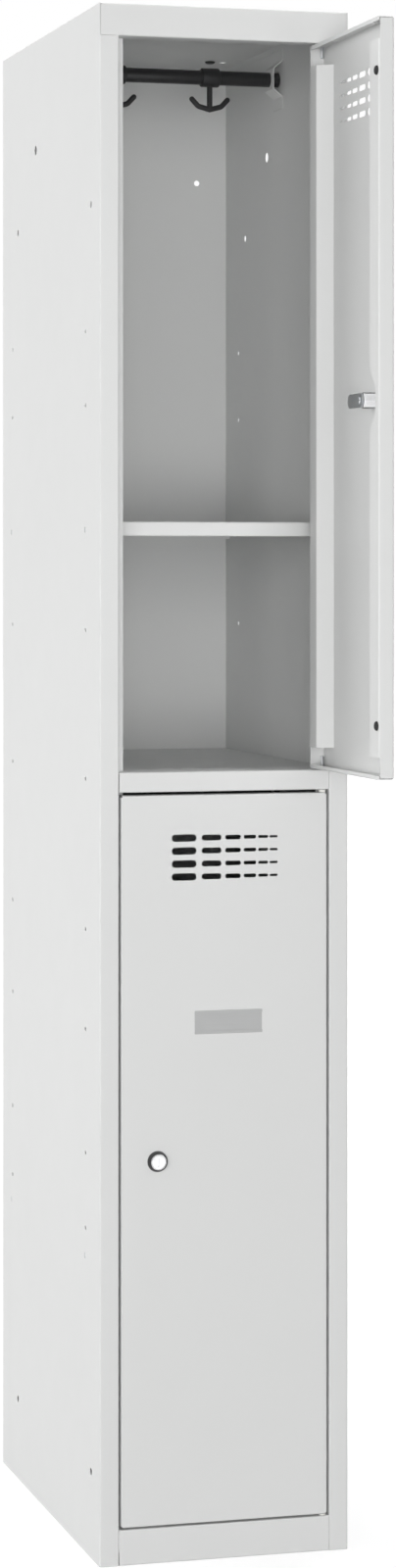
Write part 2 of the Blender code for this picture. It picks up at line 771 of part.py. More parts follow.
def hook(name, aside, rail_pivot):
    """Double anchor hook that hangs from a sleeve on the rail."""
    half = SLEEVE_LENGTH / 2
    bore = RAIL_RADIUS + FIT
    rim = (bore + SLEEVE_RADIUS) / 2
    corner = round_hole(bore, FINE)
    shoulder = half - SLEEVE_CHAMFER
    outline = (
        (corner, half),
        (rim, half),
        (SLEEVE_RADIUS, shoulder),
        (SLEEVE_RADIUS, -shoulder),
        (rim, -half),
        (corner, -half),
    )
    sleeve = turned(name, BLACK_PLASTIC, outline, FINE, closed=True)
    place(sleeve, (aside, 0, 0), (0, RIGHT_ANGLE, 0), rail_pivot)
    stem = add_rod(name + "_stem", [(0, 0, -rim), (0, 0, -HOOK_DROP)], STEM_RADIUS)
    bow = add_rod(name + "_bow", arm_points(), ARM_RADIUS)
    for piece in (stem, bow):
        place(piece, (aside, 0, 0), parent=rail_pivot)
        combine(sleeve, piece, "UNION")
    return sleeve


# Doors

def door_panel(name, pivot):
    """Door pan: four flanges, a hat-shaped channel at the hinge side, a lip at the free side."""
    half = DOOR_HEIGHT / 2
    skin = -PIN_BACK
    low = (FREE_EDGE + BEND, skin, BEND - half)
    high = (PIN_INSET - BEND, skin, half - BEND)
    reach = half - LIP_INSET
    deep = DOOR_THICK - 2 * BEND
    bm = bmesh.new()
    add_blank(bm, low, high)
    score(bm, Z, -reach, reach)
    for end in (-1, 1):
        edges = free_edges(bm, Z, end * (half - BEND), X, low[0], high[0])
        fold(bm, edges, Z * end, Y, BEND, DOOR_THICK - BEND)
    edges = free_edges(bm, X, high[0], Z, low[2], high[2])
    edges = fold(bm, edges, X, Y, BEND, deep)
    edges = fold(bm, pick(edges, Z, -reach, reach), Y, -X, BEND, BOX_WIDTH - 2 * BEND)
    sink = DOOR_THICK - SHEET - FIT
    slant = math.atan2(sink, BOX_SPREAD)
    ramp = (sink - BEND * (1 - math.cos(slant))) / math.sin(slant)
    fold(bm, edges, -X, -Y, BEND, ramp, slant)
    edges = free_edges(bm, X, low[0], Z, low[2], high[2])
    edges = fold(bm, edges, -X, Y, BEND, deep)
    fold(bm, pick(edges, Z, -reach, reach), Y, X, BEND, LIP_WIDTH - BEND)
    pan = thicken(bm, name, POWDER_GREY, -Y)
    place(pan, parent=pivot)
    punches = door_punches(name + "_punches")
    place(punches, parent=pivot)
    return combine(pan, punches, "DIFFERENCE")


def vent_columns():
    """Length, height and middle of each column of slots, centred as one band on the door."""
    lengths = [VENT_LENGTH * VENT_SHRINK_SHARE ** i for i in range(VENT_COLUMNS)]
    heights = [VENT_HEIGHT * VENT_SHRINK_SHARE ** i for i in range(VENT_COLUMNS)]
    spaces = [VENT_SPACE * VENT_SPACE_SHARE ** i for i in range(VENT_COLUMNS - 1)]
    start = DOOR_MIDDLE - (sum(lengths) + sum(spaces)) / 2
    middles = []
    for i, length in enumerate(lengths):
        middles.append(start + sum(lengths[:i]) + sum(spaces[:i]) + length / 2)
    return list(zip(lengths, heights, middles))


def door_punches(name):
    """Everything punched in the door: vents, lock and pin holes, bumper holes and lip notch."""
    skin = -PIN_BACK + SHEET / 2
    lip = DOOR_THICK - PIN_BACK - SHEET / 2
    through = SHEET + OVERRUN
    half = DOOR_HEIGHT / 2
    lock = (FREE_EDGE + LOCK_INSET, skin, -LOCK_DROP)
    bm = bmesh.new()
    for length, height, middle in vent_columns():
        for row in range(VENT_ROWS):
            level = half - VENT_BELOW_TOP - row * VENT_PITCH
            add_slot_punch(bm, (middle, skin, level), -Y, length, height, through)
    add_drill(bm, lock, Y, BARREL_RADIUS + FIT, through, FINE)
    for end in (-1, 1):
        add_drill(bm, (0, 0, end * (half - SHEET / 2)), Z, PIN_RADIUS + FIT, through, ROUND)
        button = (FREE_EDGE + BUMPER_FROM_EDGE, lip, end * (half - BUMPER_FROM_END))
        add_drill(bm, button, Y, BUMPER_NECK_RADIUS + FIT, through)
    add_notch(bm, lip, through)
    return cutter_from(bm, name)


def add_notch(bm, lip, through):
    """Trapezoid punch that narrows the lip beside the lock."""
    floor = FREE_EDGE + LIP_WIDTH - NOTCH_DEPTH
    mouth = FREE_EDGE + LIP_WIDTH + OVERRUN
    middle = ((floor + mouth) / 2, lip, -LOCK_DROP)
    slant = (NOTCH_MOUTH - NOTCH_FLOOR) / NOTCH_DEPTH
    corners = add_block(bm, middle, (mouth - floor, through, NOTCH_FLOOR))
    for corner in corners:
        if corner.co.x > middle[0]:
            corner.co.z += math.copysign(slant * (mouth - floor) / 2, corner.co.z - middle[2])


def end_gap(end):
    return DOOR_TOP_GAP if end > 0 else DOOR_BOTTOM_GAP


def hinge_pin(name, end, pivot):
    """Plain pin on the hinge line, from inside the door out through the frame."""
    half = DOOR_HEIGHT / 2
    tip = half + end_gap(end) + SHEET + PIN_NOSE
    tail = half - SHEET - PIN_TAIL
    outline = (
        (0, tip),
        (PIN_RADIUS - PIN_CHAMFER, tip),
        (PIN_RADIUS, tip - PIN_CHAMFER),
        (PIN_RADIUS, tail + PIN_CHAMFER),
        (PIN_RADIUS - PIN_CHAMFER, tail),
        (0, tail),
    )
    return place(turned(name, ZINC, outline, SMALL), (0, 0, 0), end_turn(end), pivot)


def hinge_washer(name, end, pivot):
    """Thick washer on a pin, which fills the gap between the door and the frame."""
    half = DOOR_HEIGHT / 2
    bore = round_hole(PIN_RADIUS + FIT, SMALL)
    low = half + FIT
    high = half + end_gap(end) - FIT
    outline = ((bore, high), (WASHER_RADIUS, high), (WASHER_RADIUS, low), (bore, low))
    washer = turned(name, NYLON, outline, SMALL, closed=True)
    return place(washer, (0, 0, 0), end_turn(end), pivot)


def end_turn(end):
    """Upright at the door's top, turned over at its bottom."""
    return (0 if end > 0 else 2 * RIGHT_ANGLE, 0, 0)


def bumper(name, end, pivot):
    """Rubber button pushed through the lip, which meets the frame's stop."""
    head = FIT + BUMPER_PROUD
    neck = -SHEET - FIT
    outline = (
        (0, head),
        (BUMPER_RADIUS - BUMPER_ROUND, head),
        (BUMPER_RADIUS, head - BUMPER_ROUND),
        (BUMPER_RADIUS, FIT),
        (BUMPER_NECK_RADIUS, FIT),
        (BUMPER_NECK_RADIUS, neck),
        (BUMPER_BARB_RADIUS, neck),
        (BUMPER_NECK_RADIUS, neck - BUMPER_BARB),
        (0, neck - BUMPER_BARB),
    )
    level = end * (DOOR_HEIGHT / 2 - BUMPER_FROM_END)
    at = (FREE_EDGE + BUMPER_FROM_EDGE, DOOR_THICK - PIN_BACK, level)
    return place(turned(name, RUBBER, outline, ROUND), at, (-RIGHT_ANGLE, 0, 0), pivot)


def label_holder(name, pivot):
    """Plate whose top and bottom edges fold forward and over, to hold a card."""
    half = LABEL_HEIGHT / 2 - LABEL_BEND
    aside = LABEL_WIDTH / 2
    bm = bmesh.new()
    add_blank(bm, (-aside, 0, -half), (aside, 0, half))
    for end in (-1, 1):
        edges = free_edges(bm, Z, end * half, X, -aside, aside)
        edges = fold(bm, edges, Z * end, -Y, LABEL_BEND, LABEL_THICK - 2 * LABEL_BEND)
        fold(bm, edges, -Y, Z * -end, LABEL_BEND, LABEL_LIP - LABEL_BEND)
    holder = thicken(bm, name, LABEL_GREY, Y, LABEL_SHEET)
    at = (DOOR_MIDDLE + LABEL_ASIDE, -PIN_BACK - FIT, LABEL_ABOVE_LOCK - LOCK_DROP)
    return place(holder, at, parent=pivot)


# Cam lock, modelled about its own axis with +Z out of the door's face

def lock_rosette(name, axle):
    """Black tapered ring round the barrel, proud of the door's face."""
    bore = round_hole(BARREL_RADIUS + FIT, FINE)
    outline = (
        (bore, ROSETTE_PROUD),
        (ROSETTE_TIP_RADIUS, ROSETTE_PROUD),
        (ROSETTE_RADIUS, FIT),
        (bore, FIT),
    )
    return place(turned(name, BLACK_PLASTIC, outline, FINE, closed=True), parent=axle)


def lock_barrel(name, axle):
    """Barrel through the door, bored for the plug and counterbored for its face."""
    bore = round_hole(PLUG_BODY_RADIUS + FIT, FINE)
    seat = round_hole(FACE_RADIUS + FIT, FINE)
    floor = BARREL_PROUD - FACE_THICK - FIT
    groove = -SHEET - FIT
    groove_end = groove - CLIP_THICK - FIT
    outline = (
        (bore, floor),
        (seat, floor),
        (seat, BARREL_PROUD),
        (BARREL_RADIUS, BARREL_PROUD),
        (BARREL_RADIUS, groove),
        (BARREL_RADIUS - CLIP_GROOVE, groove),
        (BARREL_RADIUS - CLIP_GROOVE, groove_end),
        (BARREL_RADIUS, groove_end),
        (BARREL_RADIUS, BARREL_ROUND - BARREL_REACH),
        (BARREL_RADIUS - BARREL_ROUND, -BARREL_REACH),
        (bore, -BARREL_REACH),
    )
    return place(turned(name, CHROME, outline, FINE, closed=True), parent=axle)


def lock_clip(name, axle):
    """Horseshoe clip in the barrel's groove, which holds the lock to the door."""
    inner = round_hole(BARREL_RADIUS - CLIP_GROOVE + FIT, FINE)
    top = -SHEET - FIT
    bottom = top - CLIP_THICK
    outline = ((inner, top), (CLIP_RADIUS, top), (CLIP_RADIUS, bottom), (inner, bottom))
    clip = place(turned(name, ZINC, outline, FINE, closed=True), parent=axle)
    bm = bmesh.new()
    mouth = 2 * inner * CLIP_MOUTH_SHARE
    block = (mouth, 2 * CLIP_RADIUS, CLIP_THICK + OVERRUN)
    add_block(bm, (0, -CLIP_RADIUS, (top + bottom) / 2), block)
    return combine(clip, place(cutter_from(bm, name + "_mouth"), parent=axle), "DIFFERENCE")


def lock_plug(name, axle):
    """Turning plug: round face with the key slot, body and square tail for the cam."""
    face = BARREL_PROUD
    shoulder = face - FACE_THICK
    end = -BARREL_REACH - CAM_GAP
    outline = (
        (0, face),
        (FACE_RADIUS - FACE_ROUND, face),
        (FACE_RADIUS, face - FACE_ROUND),
        (FACE_RADIUS, shoulder),
        (PLUG_BODY_RADIUS, shoulder),
        (PLUG_BODY_RADIUS, end),
        (0, end),
    )
    plug = place(turned(name, CHROME, outline, FINE), parent=axle)
    bm = bmesh.new()
    tail_end = end - CAM_THICK
    tail_top = end + OVERRUN
    add_block(bm, (0, 0, (tail_top + tail_end) / 2), (TAIL_SIDE, TAIL_SIDE, tail_top - tail_end))
    combine(plug, place(cutter_from(bm, name + "_tail"), parent=axle), "UNION")
    bm = bmesh.new()
    slot = (KEY_SLOT_WIDTH, KEY_SLOT_LENGTH, 2 * KEY_SLOT_DEPTH)
    add_block(bm, (0, 0, face), slot)
    hole = tail_end + (SCREW_SHANK + FIT) / 2 - OVERRUN / 2
    add_drill(bm, (0, 0, hole), Z, SCREW_SHANK_RADIUS + FIT, SCREW_SHANK + FIT + OVERRUN)
    return combine(plug, place(cutter_from(bm, name + "_slot"), parent=axle), "DIFFERENCE")


def lock_cam(name, axle):
    """Flat cam with round ends and a square hole, which swings behind the frame's stop."""
    middle = -BARREL_REACH - CAM_GAP - CAM_THICK / 2
    long = CAM_LENGTH + CAM_WIDTH / 2
    bm = bmesh.new()
    add_slot_punch(bm, (long / 2 - CAM_WIDTH / 2, 0, middle), Z, long, CAM_WIDTH, CAM_THICK)
    cam = place(part_from(bm, name, ZINC), parent=axle)
    bm = bmesh.new()
    square = TAIL_SIDE + 2 * FIT
    add_block(bm, (0, 0, middle), (square, square, CAM_THICK + OVERRUN))
    return combine(cam, place(cutter_from(bm, name + "_square"), parent=axle), "DIFFERENCE")


def cam_screw(name, axle):
    """Screw that holds the cam on the plug's tail."""
    seat = -BARREL_REACH - CAM_GAP - CAM_THICK - FIT
    outline = (
        (0, seat + SCREW_SHANK),
        (SCREW_SHANK_RADIUS, seat + SCREW_SHANK),
        (SCREW_SHANK_RADIUS, seat),
        (SCREW_HEAD_RADIUS, seat),
        (SCREW_HEAD_RADIUS, seat - SCREW_HEAD + SCREW_ROUND),
        (SCREW_HEAD_RADIUS - SCREW_ROUND, seat - SCREW_HEAD),
        (0, seat - SCREW_HEAD),
    )
    screw = place(turned(name, ZINC, outline, ROUND), parent=axle)
    bm = bmesh.new()
    wide = 2 * SCREW_HEAD_RADIUS + OVERRUN
    add_block(bm, (0, 0, seat - SCREW_HEAD), (wide, SCREW_SLOT_WIDTH, 2 * SCREW_SLOT_DEPTH))
    return combine(screw, place(cutter_from(bm, name + "_slot"), parent=axle), "DIFFERENCE")


def cam_lock(tier, pivot):
    axle = new_pivot(
        tier + "_lock_axle",
        (FREE_EDGE + LOCK_INSET, -PIN_BACK, -LOCK_DROP),
        (RIGHT_ANGLE, 0, 0),
        pivot,
    )
    lock_rosette(tier + "_lock_rosette", axle)
    lock_barrel(tier + "_lock_barrel", axle)
    lock_clip(tier + "_lock_clip", axle)
    lock_plug(tier + "_lock_plug", axle)
    lock_cam(tier + "_lock_cam", axle)
    cam_screw(tier + "_cam_screw", axle)


def door(tier, floor, angle):
    middle = floor + DOOR_BOTTOM_GAP + DOOR_HEIGHT / 2
    pivot = new_pivot(tier + "_door_pivot", (PIN_X, PIN_Y, middle), (0, 0, angle))
    door_panel(tier + "_door", pivot)
    for end, where in ((1, "top"), (-1, "bottom")):
        hinge_pin("%s_door_%s_pin" % (tier, where), end, pivot)
        hinge_washer("%s_door_%s_washer" % (tier, where), end, pivot)
        bumper("%s_door_%s_bumper" % (tier, where), end, pivot)
    label_holder(tier + "_label_holder", pivot)
    cam_lock(tier, pivot)


def compartment(tier, floor, ceiling, shelf_height):
    level = floor + shelf_height
    shelf(tier + "_shelf", level)
    shelf_pegs(tier, level)
    rail_level = ceiling - SHEET - RAIL_DROP
    rail_bracket(tier + "_left_rail_bracket", -1, rail_level)
    rail_bracket(tier + "_right_rail_bracket", 1, rail_level)
    pivot = rail(tier + "_rail", rail_level)
    hook(tier + "_left_hook", -HOOK_ASIDE, pivot)
    hook(tier + "_right_hook", HOOK_ASIDE, pivot)


carcass()
compartment("upper", UPPER_FLOOR, HEIGHT, UPPER_SHELF_HEIGHT)
compartment("lower", LOWER_FLOOR, UPPER_FLOOR, LOWER_SHELF_HEIGHT)
door("upper", UPPER_FLOOR, UPPER_DOOR_ANGLE)
door("lower", LOWER_FLOOR, LOWER_DOOR_ANGLE)
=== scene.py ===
# %% [markdown]
# # A two-tier steel school locker
# Two compartments sit one over the other in a case folded from thin sheet. The upper
# door stands open and the lower one is shut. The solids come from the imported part. This
# lesson adds the camera, the studio, the finishes, and finer versions of the doors and
# the small parts.

# %% Load the locker
import itertools
import math

import bmesh
import bpy
from mathutils import Matrix, Vector
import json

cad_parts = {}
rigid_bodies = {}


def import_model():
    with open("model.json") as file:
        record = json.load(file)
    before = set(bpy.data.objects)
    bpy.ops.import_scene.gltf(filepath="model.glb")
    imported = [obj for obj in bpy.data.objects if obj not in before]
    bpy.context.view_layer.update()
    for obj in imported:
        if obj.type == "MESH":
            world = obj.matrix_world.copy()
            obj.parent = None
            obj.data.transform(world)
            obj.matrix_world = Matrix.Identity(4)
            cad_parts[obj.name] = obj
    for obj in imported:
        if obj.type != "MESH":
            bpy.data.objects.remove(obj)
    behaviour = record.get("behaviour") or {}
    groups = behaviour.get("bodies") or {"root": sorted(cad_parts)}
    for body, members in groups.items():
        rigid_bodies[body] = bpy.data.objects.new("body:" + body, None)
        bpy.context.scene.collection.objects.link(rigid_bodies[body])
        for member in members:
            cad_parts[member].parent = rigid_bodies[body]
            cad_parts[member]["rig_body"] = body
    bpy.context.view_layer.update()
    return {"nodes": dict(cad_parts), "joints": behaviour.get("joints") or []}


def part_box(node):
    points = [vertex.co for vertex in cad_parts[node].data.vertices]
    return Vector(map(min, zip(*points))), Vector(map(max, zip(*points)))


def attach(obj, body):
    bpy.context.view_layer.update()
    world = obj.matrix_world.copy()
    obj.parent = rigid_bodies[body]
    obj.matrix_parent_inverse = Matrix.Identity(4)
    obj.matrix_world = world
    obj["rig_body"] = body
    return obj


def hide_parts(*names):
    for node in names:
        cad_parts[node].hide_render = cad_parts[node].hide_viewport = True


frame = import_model()

# %% [markdown]
# ## The camera
# A product photograph of something this tall is often taken with a shift lens. The
# camera stays level, so upright edges stay upright, and the frame slides down and aside
# instead. Blender's camera does that with its shift values. The place and the focal
# length were fitted to the case's edges.

# %% Camera
PHOTO_WIDTH = 404
PHOTO_HEIGHT = 1600
FOCAL_PIXELS = 3636.2
MIDDLE_COLUMN = 132.10
HORIZON_ROW = 573.65
EYE = (-1.1718, -3.9784, 1.1563)
EYE_TURN = -14.917
SENSOR = 36.0
QUARTER_TURN = math.radians(90)
PRINTED_DIGITS = 4


def shown(*values):
    """Numbers rounded for a printed line."""
    return [round(value, PRINTED_DIGITS) for value in values]


camera_data = bpy.data.cameras.new("camera")
camera_data.sensor_fit = "VERTICAL"
camera_data.sensor_width = SENSOR
camera_data.sensor_height = SENSOR
camera_data.lens = FOCAL_PIXELS * SENSOR / PHOTO_HEIGHT
camera_data.shift_x = (PHOTO_WIDTH / 2 - MIDDLE_COLUMN) / PHOTO_HEIGHT
camera_data.shift_y = (HORIZON_ROW - PHOTO_HEIGHT / 2) / PHOTO_HEIGHT
camera = bpy.data.objects.new("camera", camera_data)
camera.location = EYE
camera.rotation_euler = (QUARTER_TURN, 0, math.radians(EYE_TURN))
bpy.context.scene.collection.objects.link(camera)
bpy.context.scene.camera = camera
bpy.context.scene.view_settings.view_transform = "Standard"
print("lens in mm and shifts:", shown(camera_data.lens, camera_data.shift_x, camera_data.shift_y))

# %% [markdown]
# ## Writing shader maths as plain sums
# A material is a net of nodes, and a sum drawn as boxes is hard to read. The small
# class below holds one output of a node. Adding or multiplying two of them adds the
# Math node for it, so a finish can be written as a formula.

# %% Sockets and nodes


class Wire:
    """One output of a node, on which +, - and * add the Math nodes."""

    def __init__(self, net, socket):
        self.net = net
        self.socket = socket

    def math(self, operation, first, second):
        return self.net.add("ShaderNodeMath", {"operation": operation}, {0: first, 1: second})

    def __add__(self, other):
        return self.math("ADD", self, other)

    def __radd__(self, other):
        return self.math("ADD", other, self)

    def __sub__(self, other):
        return self.math("SUBTRACT", self, other)

    def __rsub__(self, other):
        return self.math("SUBTRACT", other, self)

    def __mul__(self, other):
        return self.math("MULTIPLY", self, other)

    def __rmul__(self, other):
        return self.math("MULTIPLY", other, self)


class Net:
    """The nodes of one material or world."""

    def __init__(self, owner):
        owner.use_nodes = True
        self.owner = owner
        self.tree = owner.node_tree

    def add(self, kind, settings=None, inputs=None, out=0):
        """Add a node with its settings, then its sockets' values or links."""
        node = self.tree.nodes.new(kind)
        for name, value in (settings or {}).items():
            setattr(node, name, value)
        for name, value in (inputs or {}).items():
            self.join(node.inputs[name], value)
        return Wire(self, node.outputs[out])

    def join(self, socket, value):
        if isinstance(value, Wire):
            self.tree.links.new(value.socket, socket)
        else:
            socket.default_value = value


# %% [markdown]
# ## The studio
# The real picture has no background at all: only white. A strong lamp would burn out
# the pale paint to get that, so the white is given only to the camera and to mirrors.
# Light Path tells their rays from those that carry light, and the light itself stays at
# the level where a colour looks as it is written. It is a little stronger from below than
# from above, because a white studio's floor throws light back up.

# %% World
LIGHT_ABOVE = 0.13
LIGHT_BELOW = 0.22
LIGHT_BLEND = 0.2
WHITE = (1, 1, 1, 1)


def seen_directly(net):
    """One for a ray from the camera or a mirror, and zero for a ray that carries light."""
    rays = net.add("ShaderNodeLightPath").socket.node.outputs
    mask = Wire(net, rays["Is Camera Ray"])
    for kind in ("Is Glossy Ray", "Is Transmission Ray"):
        mask = mask.math("MAXIMUM", mask, Wire(net, rays[kind]))
    return mask


world = bpy.data.worlds.new("studio")
bpy.context.scene.world = world
net = Net(world)
seen = seen_directly(net)
direction = net.add("ShaderNodeTexCoord", out="Generated")
rise = net.add("ShaderNodeSeparateXYZ", None, {"Vector": direction}, out="Z")
upward = net.add("ShaderNodeMapRange", None, {
    "Value": rise, "From Min": -LIGHT_BLEND, "From Max": LIGHT_BLEND,
})
light = upward * (LIGHT_ABOVE - LIGHT_BELOW) + LIGHT_BELOW
background = net.tree.nodes["Background"]
background.inputs["Color"].default_value = WHITE
net.join(background.inputs["Strength"], seen * (1 - light) + light)
print("world light above", LIGHT_ABOVE, "below", LIGHT_BELOW)

# %% [markdown]
# ## Lamps
# Large soft boxes give soft shading without hard shadows. The inside of a narrow case
# gets dark quickly, so two boxes stand far in front and a small one stands low and close,
# whose light reaches the ceiling and the back. Two more make the case's side a little
# lighter than its front, and the last two light what only other views show.

# %% Lamps
TARGET = Vector((0, 0.1, 0.95))


def soft_box(name, place, size, watts):
    """A square lamp that faces the locker's middle."""
    data = bpy.data.lights.new(name, "AREA")
    data.shape = "SQUARE"
    data.size = size
    data.energy = watts
    lamp = bpy.data.objects.new(name, data)
    lamp.location = place
    lamp.rotation_euler = (TARGET - Vector(place)).to_track_quat("-Z", "Y").to_euler()
    bpy.context.scene.collection.objects.link(lamp)
    lamp.visible_camera = False
    lamp.visible_glossy = False


BOXES = {
    "front_box": ((0.0, -8.0, 1.15), 4.0, 240),
    "front_left_box": ((-4.0, -6.8, 1.15), 4.0, 248),
    "low_box": ((-1.2, -5.0, 0.6), 1.0, 39),
    "left_box": ((-8.0, 0.1, 1.3), 4.0, 160),
    "back_left_box": ((-7.2, 3.6, 1.3), 4.0, 340),
    "back_right_box": ((5.6, 5.8, 1.3), 4.0, 430),
    "top_box": ((0.0, 0.1, 12.0), 2.0, 800),
}
for name, (place, size, watts) in BOXES.items():
    soft_box(name, place, size, watts)
print("soft boxes:", len(BOXES))

# %% [markdown]
# ## The floor
# The locker stands on something, so a pale floor carries its faint shadow. To the camera
# and to mirrors part of the floor glows white near the locker, and all of it further off,
# which fades it into the background. Light that bounces passes through it to the world
# below, so the case is lit evenly to its foot.

# %% Floor
FLOOR_SIZE = 60
FLOOR_PAINT = (0.9, 0.9, 0.9, 1)
FLOOR_ROUGHNESS = 0.9
FLOOR_GLOW = 0.6
FLOOR_STRENGTH = 1.2
FADE_START = 1.0
FADE_END = 4.0

bm = bmesh.new()
bmesh.ops.create_grid(bm, x_segments=1, y_segments=1, size=FLOOR_SIZE / 2)
floor_mesh = bpy.data.meshes.new("studio_floor")
bm.to_mesh(floor_mesh)
bm.free()
floor_object = bpy.data.objects.new("studio_floor", floor_mesh)
bpy.context.scene.collection.objects.link(floor_object)
net = Net(bpy.data.materials.new("studio_floor"))
shader = net.tree.nodes["Principled BSDF"]
shader.inputs["Base Color"].default_value = FLOOR_PAINT
shader.inputs["Roughness"].default_value = FLOOR_ROUGHNESS
shader.inputs["Specular IOR Level"].default_value = 0.0
glow = net.add("ShaderNodeEmission", None, {"Color": WHITE, "Strength": FLOOR_STRENGTH})
spot = net.add("ShaderNodeTexCoord", out="Object")
away = net.add("ShaderNodeVectorMath", {"operation": "LENGTH"}, {0: spot}, out="Value")
fade = net.add("ShaderNodeMapRange", None, {
    "Value": away, "From Min": FADE_START, "From Max": FADE_END, "To Min": FLOOR_GLOW,
})
mixed = net.add("ShaderNodeMixShader", None, {
    0: seen_directly(net) * fade,
    1: Wire(net, shader.outputs[0]),
    2: glow,
})
net.join(net.tree.nodes["Material Output"].inputs["Surface"], mixed)
floor_mesh.materials.append(net.owner)
floor_object.visible_diffuse = False
print("floor", FLOOR_SIZE, "m")

# %% [markdown]
# ## Patterns shared by the finishes
# Every finish here needs the same few things: a place on the object, a soft noise at
# some scale, and a bump made from it. Object coordinates are in metres, so a noise scale
# of 700 gives blobs about 1.5 millimetres across, the size of the dimples in powder coat.
# Each finish ends in three wires: one for its colour, one for its gloss, one for its
# relief. Its plain roughness stands on the shader, and its gloss is the span of
# roughness that the wire moves through.

# %% Pattern helpers
SEED_STEPS = (1.7, 2.3, 3.1)
MIX_DARK, MIX_LIGHT, MIX_RESULT = 6, 7, 2


def new_finish(name, colour, roughness, metallic=0.0):
    """A material whose three constants sit on the shader itself."""
    net = Net(bpy.data.materials.new(name))
    net.shader = net.tree.nodes["Principled BSDF"].inputs
    net.shader["Base Color"].default_value = (*colour, 1)
    net.shader["Roughness"].default_value = roughness
    net.shader["Metallic"].default_value = metallic
    return net


def place_on(net, seed, stretch=(1, 1, 1)):
    """Object coordinates, shifted so that no two pieces share a pattern."""
    spot = net.add("ShaderNodeTexCoord", out="Object")
    shift = [seed * step for step in SEED_STEPS]
    return net.add("ShaderNodeMapping", None, {"Vector": spot, "Location": shift, "Scale": stretch})


def noise(net, spot, scale, detail=2.0, rough=0.5):
    return net.add("ShaderNodeTexNoise", None, {
        "Vector": spot, "Scale": scale, "Detail": detail, "Roughness": rough,
    })


def streaks(net, seed, stretch, detail):
    """A noise drawn out into lines, by coordinates that are scaled unlike each way."""
    return noise(net, place_on(net, seed, stretch), 1.0, detail)


def tint(net, factor, dark, light):
    """A colour between two others, by a factor from 0 to 1."""
    return net.add("ShaderNodeMix", {"data_type": "RGBA"}, {
        "Factor": factor, MIX_DARK: (*dark, 1), MIX_LIGHT: (*light, 1),
    }, out=MIX_RESULT)


def shade(colour, share):
    return tuple(channel * share for channel in colour)


def drift(net, factor, colour, tones):
    """A colour that wanders between two shares of itself."""
    dark, light = tones
    return tint(net, factor, shade(colour, dark), shade(colour, light))


def between(factor, span):
    low, high = span
    return factor * (high - low) + low


def bump(net, height, relief):
    """A normal bent by a height; relief is its strength and its depth in metres."""
    strength, depth = relief
    return net.add("ShaderNodeBump", None, {
        "Height": height, "Strength": strength, "Distance": depth,
    })


def finished(net, colour, roughness, normal):
    """Join the three wires that a finish ends in, and give back its material."""
    net.join(net.shader["Base Color"], colour)
    net.join(net.shader["Roughness"], roughness)
    net.join(net.shader["Normal"], normal)
    return net.owner


# %% [markdown]
# ## Powder coat
# The sheets are sprayed with dry paint that melts in an oven. It flows into a skin with
# shallow dimples, called orange peel, and its gloss drifts a little from place to place.
# A fine noise bends the light for the dimples, a wide one mixed with a grain moves the
# tone, and another moves the gloss.

# %% Powder-coated steel
TIERS = ("upper", "lower")
POWDER = (0.72, 0.725, 0.72)
POWDER_TONES = (0.975, 1.025)
POWDER_ROUGHNESS = 0.45
POWDER_GLOSS = (0.38, 0.52)
CLOUD_SCALE = 5
CLOUD_DETAIL = 3.0
CLOUD_SHARE = 0.6
GRAIN_SCALE = 2600
GRAIN_DETAIL = 1.0
GLOSS_SCALE = 28
PEEL_SCALE = 700
PEEL_DETAIL = 1.5
PEEL_RELIEF = (0.25, 0.00004)


def powder_coat(name, seed):
    net = new_finish(name, POWDER, POWDER_ROUGHNESS)
    spot = place_on(net, seed)
    cloud = noise(net, spot, CLOUD_SCALE, CLOUD_DETAIL)
    grain = noise(net, spot, GRAIN_SCALE, GRAIN_DETAIL)
    tone = cloud * CLOUD_SHARE + grain * (1 - CLOUD_SHARE)
    shine = noise(net, spot, GLOSS_SCALE)
    peel = noise(net, spot, PEEL_SCALE, PEEL_DETAIL)
    return finished(net, drift(net, tone, POWDER, POWDER_TONES), between(shine, POWDER_GLOSS),
                    bump(net, peel, PEEL_RELIEF))


SHEETS = ["left_side", "right_side", "back_panel", "top_panel", "middle_shelf", "bottom_panel"]
for tier in TIERS:
    SHEETS += [tier + part for part in
               ("_shelf", "_left_rail_bracket", "_right_rail_bracket")]
for seed, name in enumerate(SHEETS):
    frame["nodes"][name].data.materials[0] = powder_coat("powder_coat_" + name, seed)
print("powder-coated sheets:", len(SHEETS))

# %% [markdown]
# ## The label holder's paint
# The small plate for a name card is a darker, satin grey. Fine level streaks, mixed with
# a wider noise, keep it from looking printed.

# %% Label paint
LABEL_PAINT = (0.46, 0.465, 0.465)
LABEL_TONES = (0.94, 1.06)
LABEL_ROUGHNESS = 0.4
LABEL_GLOSS = (0.3, 0.5)
LABEL_STRETCH = (30, 30, 900)
LABEL_STREAK_DETAIL = 2.0
LABEL_CLOUD_SCALE = 60
LABEL_CLOUD_SHARE = 0.5
LABEL_RELIEF = (0.2, 0.00003)


def label_paint(name, seed):
    net = new_finish(name, LABEL_PAINT, LABEL_ROUGHNESS)
    streak = streaks(net, seed, LABEL_STRETCH, LABEL_STREAK_DETAIL)
    cloud = noise(net, place_on(net, seed), LABEL_CLOUD_SCALE, CLOUD_DETAIL)
    tone = cloud * LABEL_CLOUD_SHARE + streak * (1 - LABEL_CLOUD_SHARE)
    return finished(net, drift(net, tone, LABEL_PAINT, LABEL_TONES), between(streak, LABEL_GLOSS),
                    bump(net, streak, LABEL_RELIEF))


print("label paint", LABEL_PAINT)

# %% [markdown]
# ## The black coat
# Three finishes are black in three ways. The rail is a steel tube with a half-gloss
# coat. What hangs on it marks it round about, so its tone and its gloss follow one noise
# that is fine along the tube and drawn out across it.

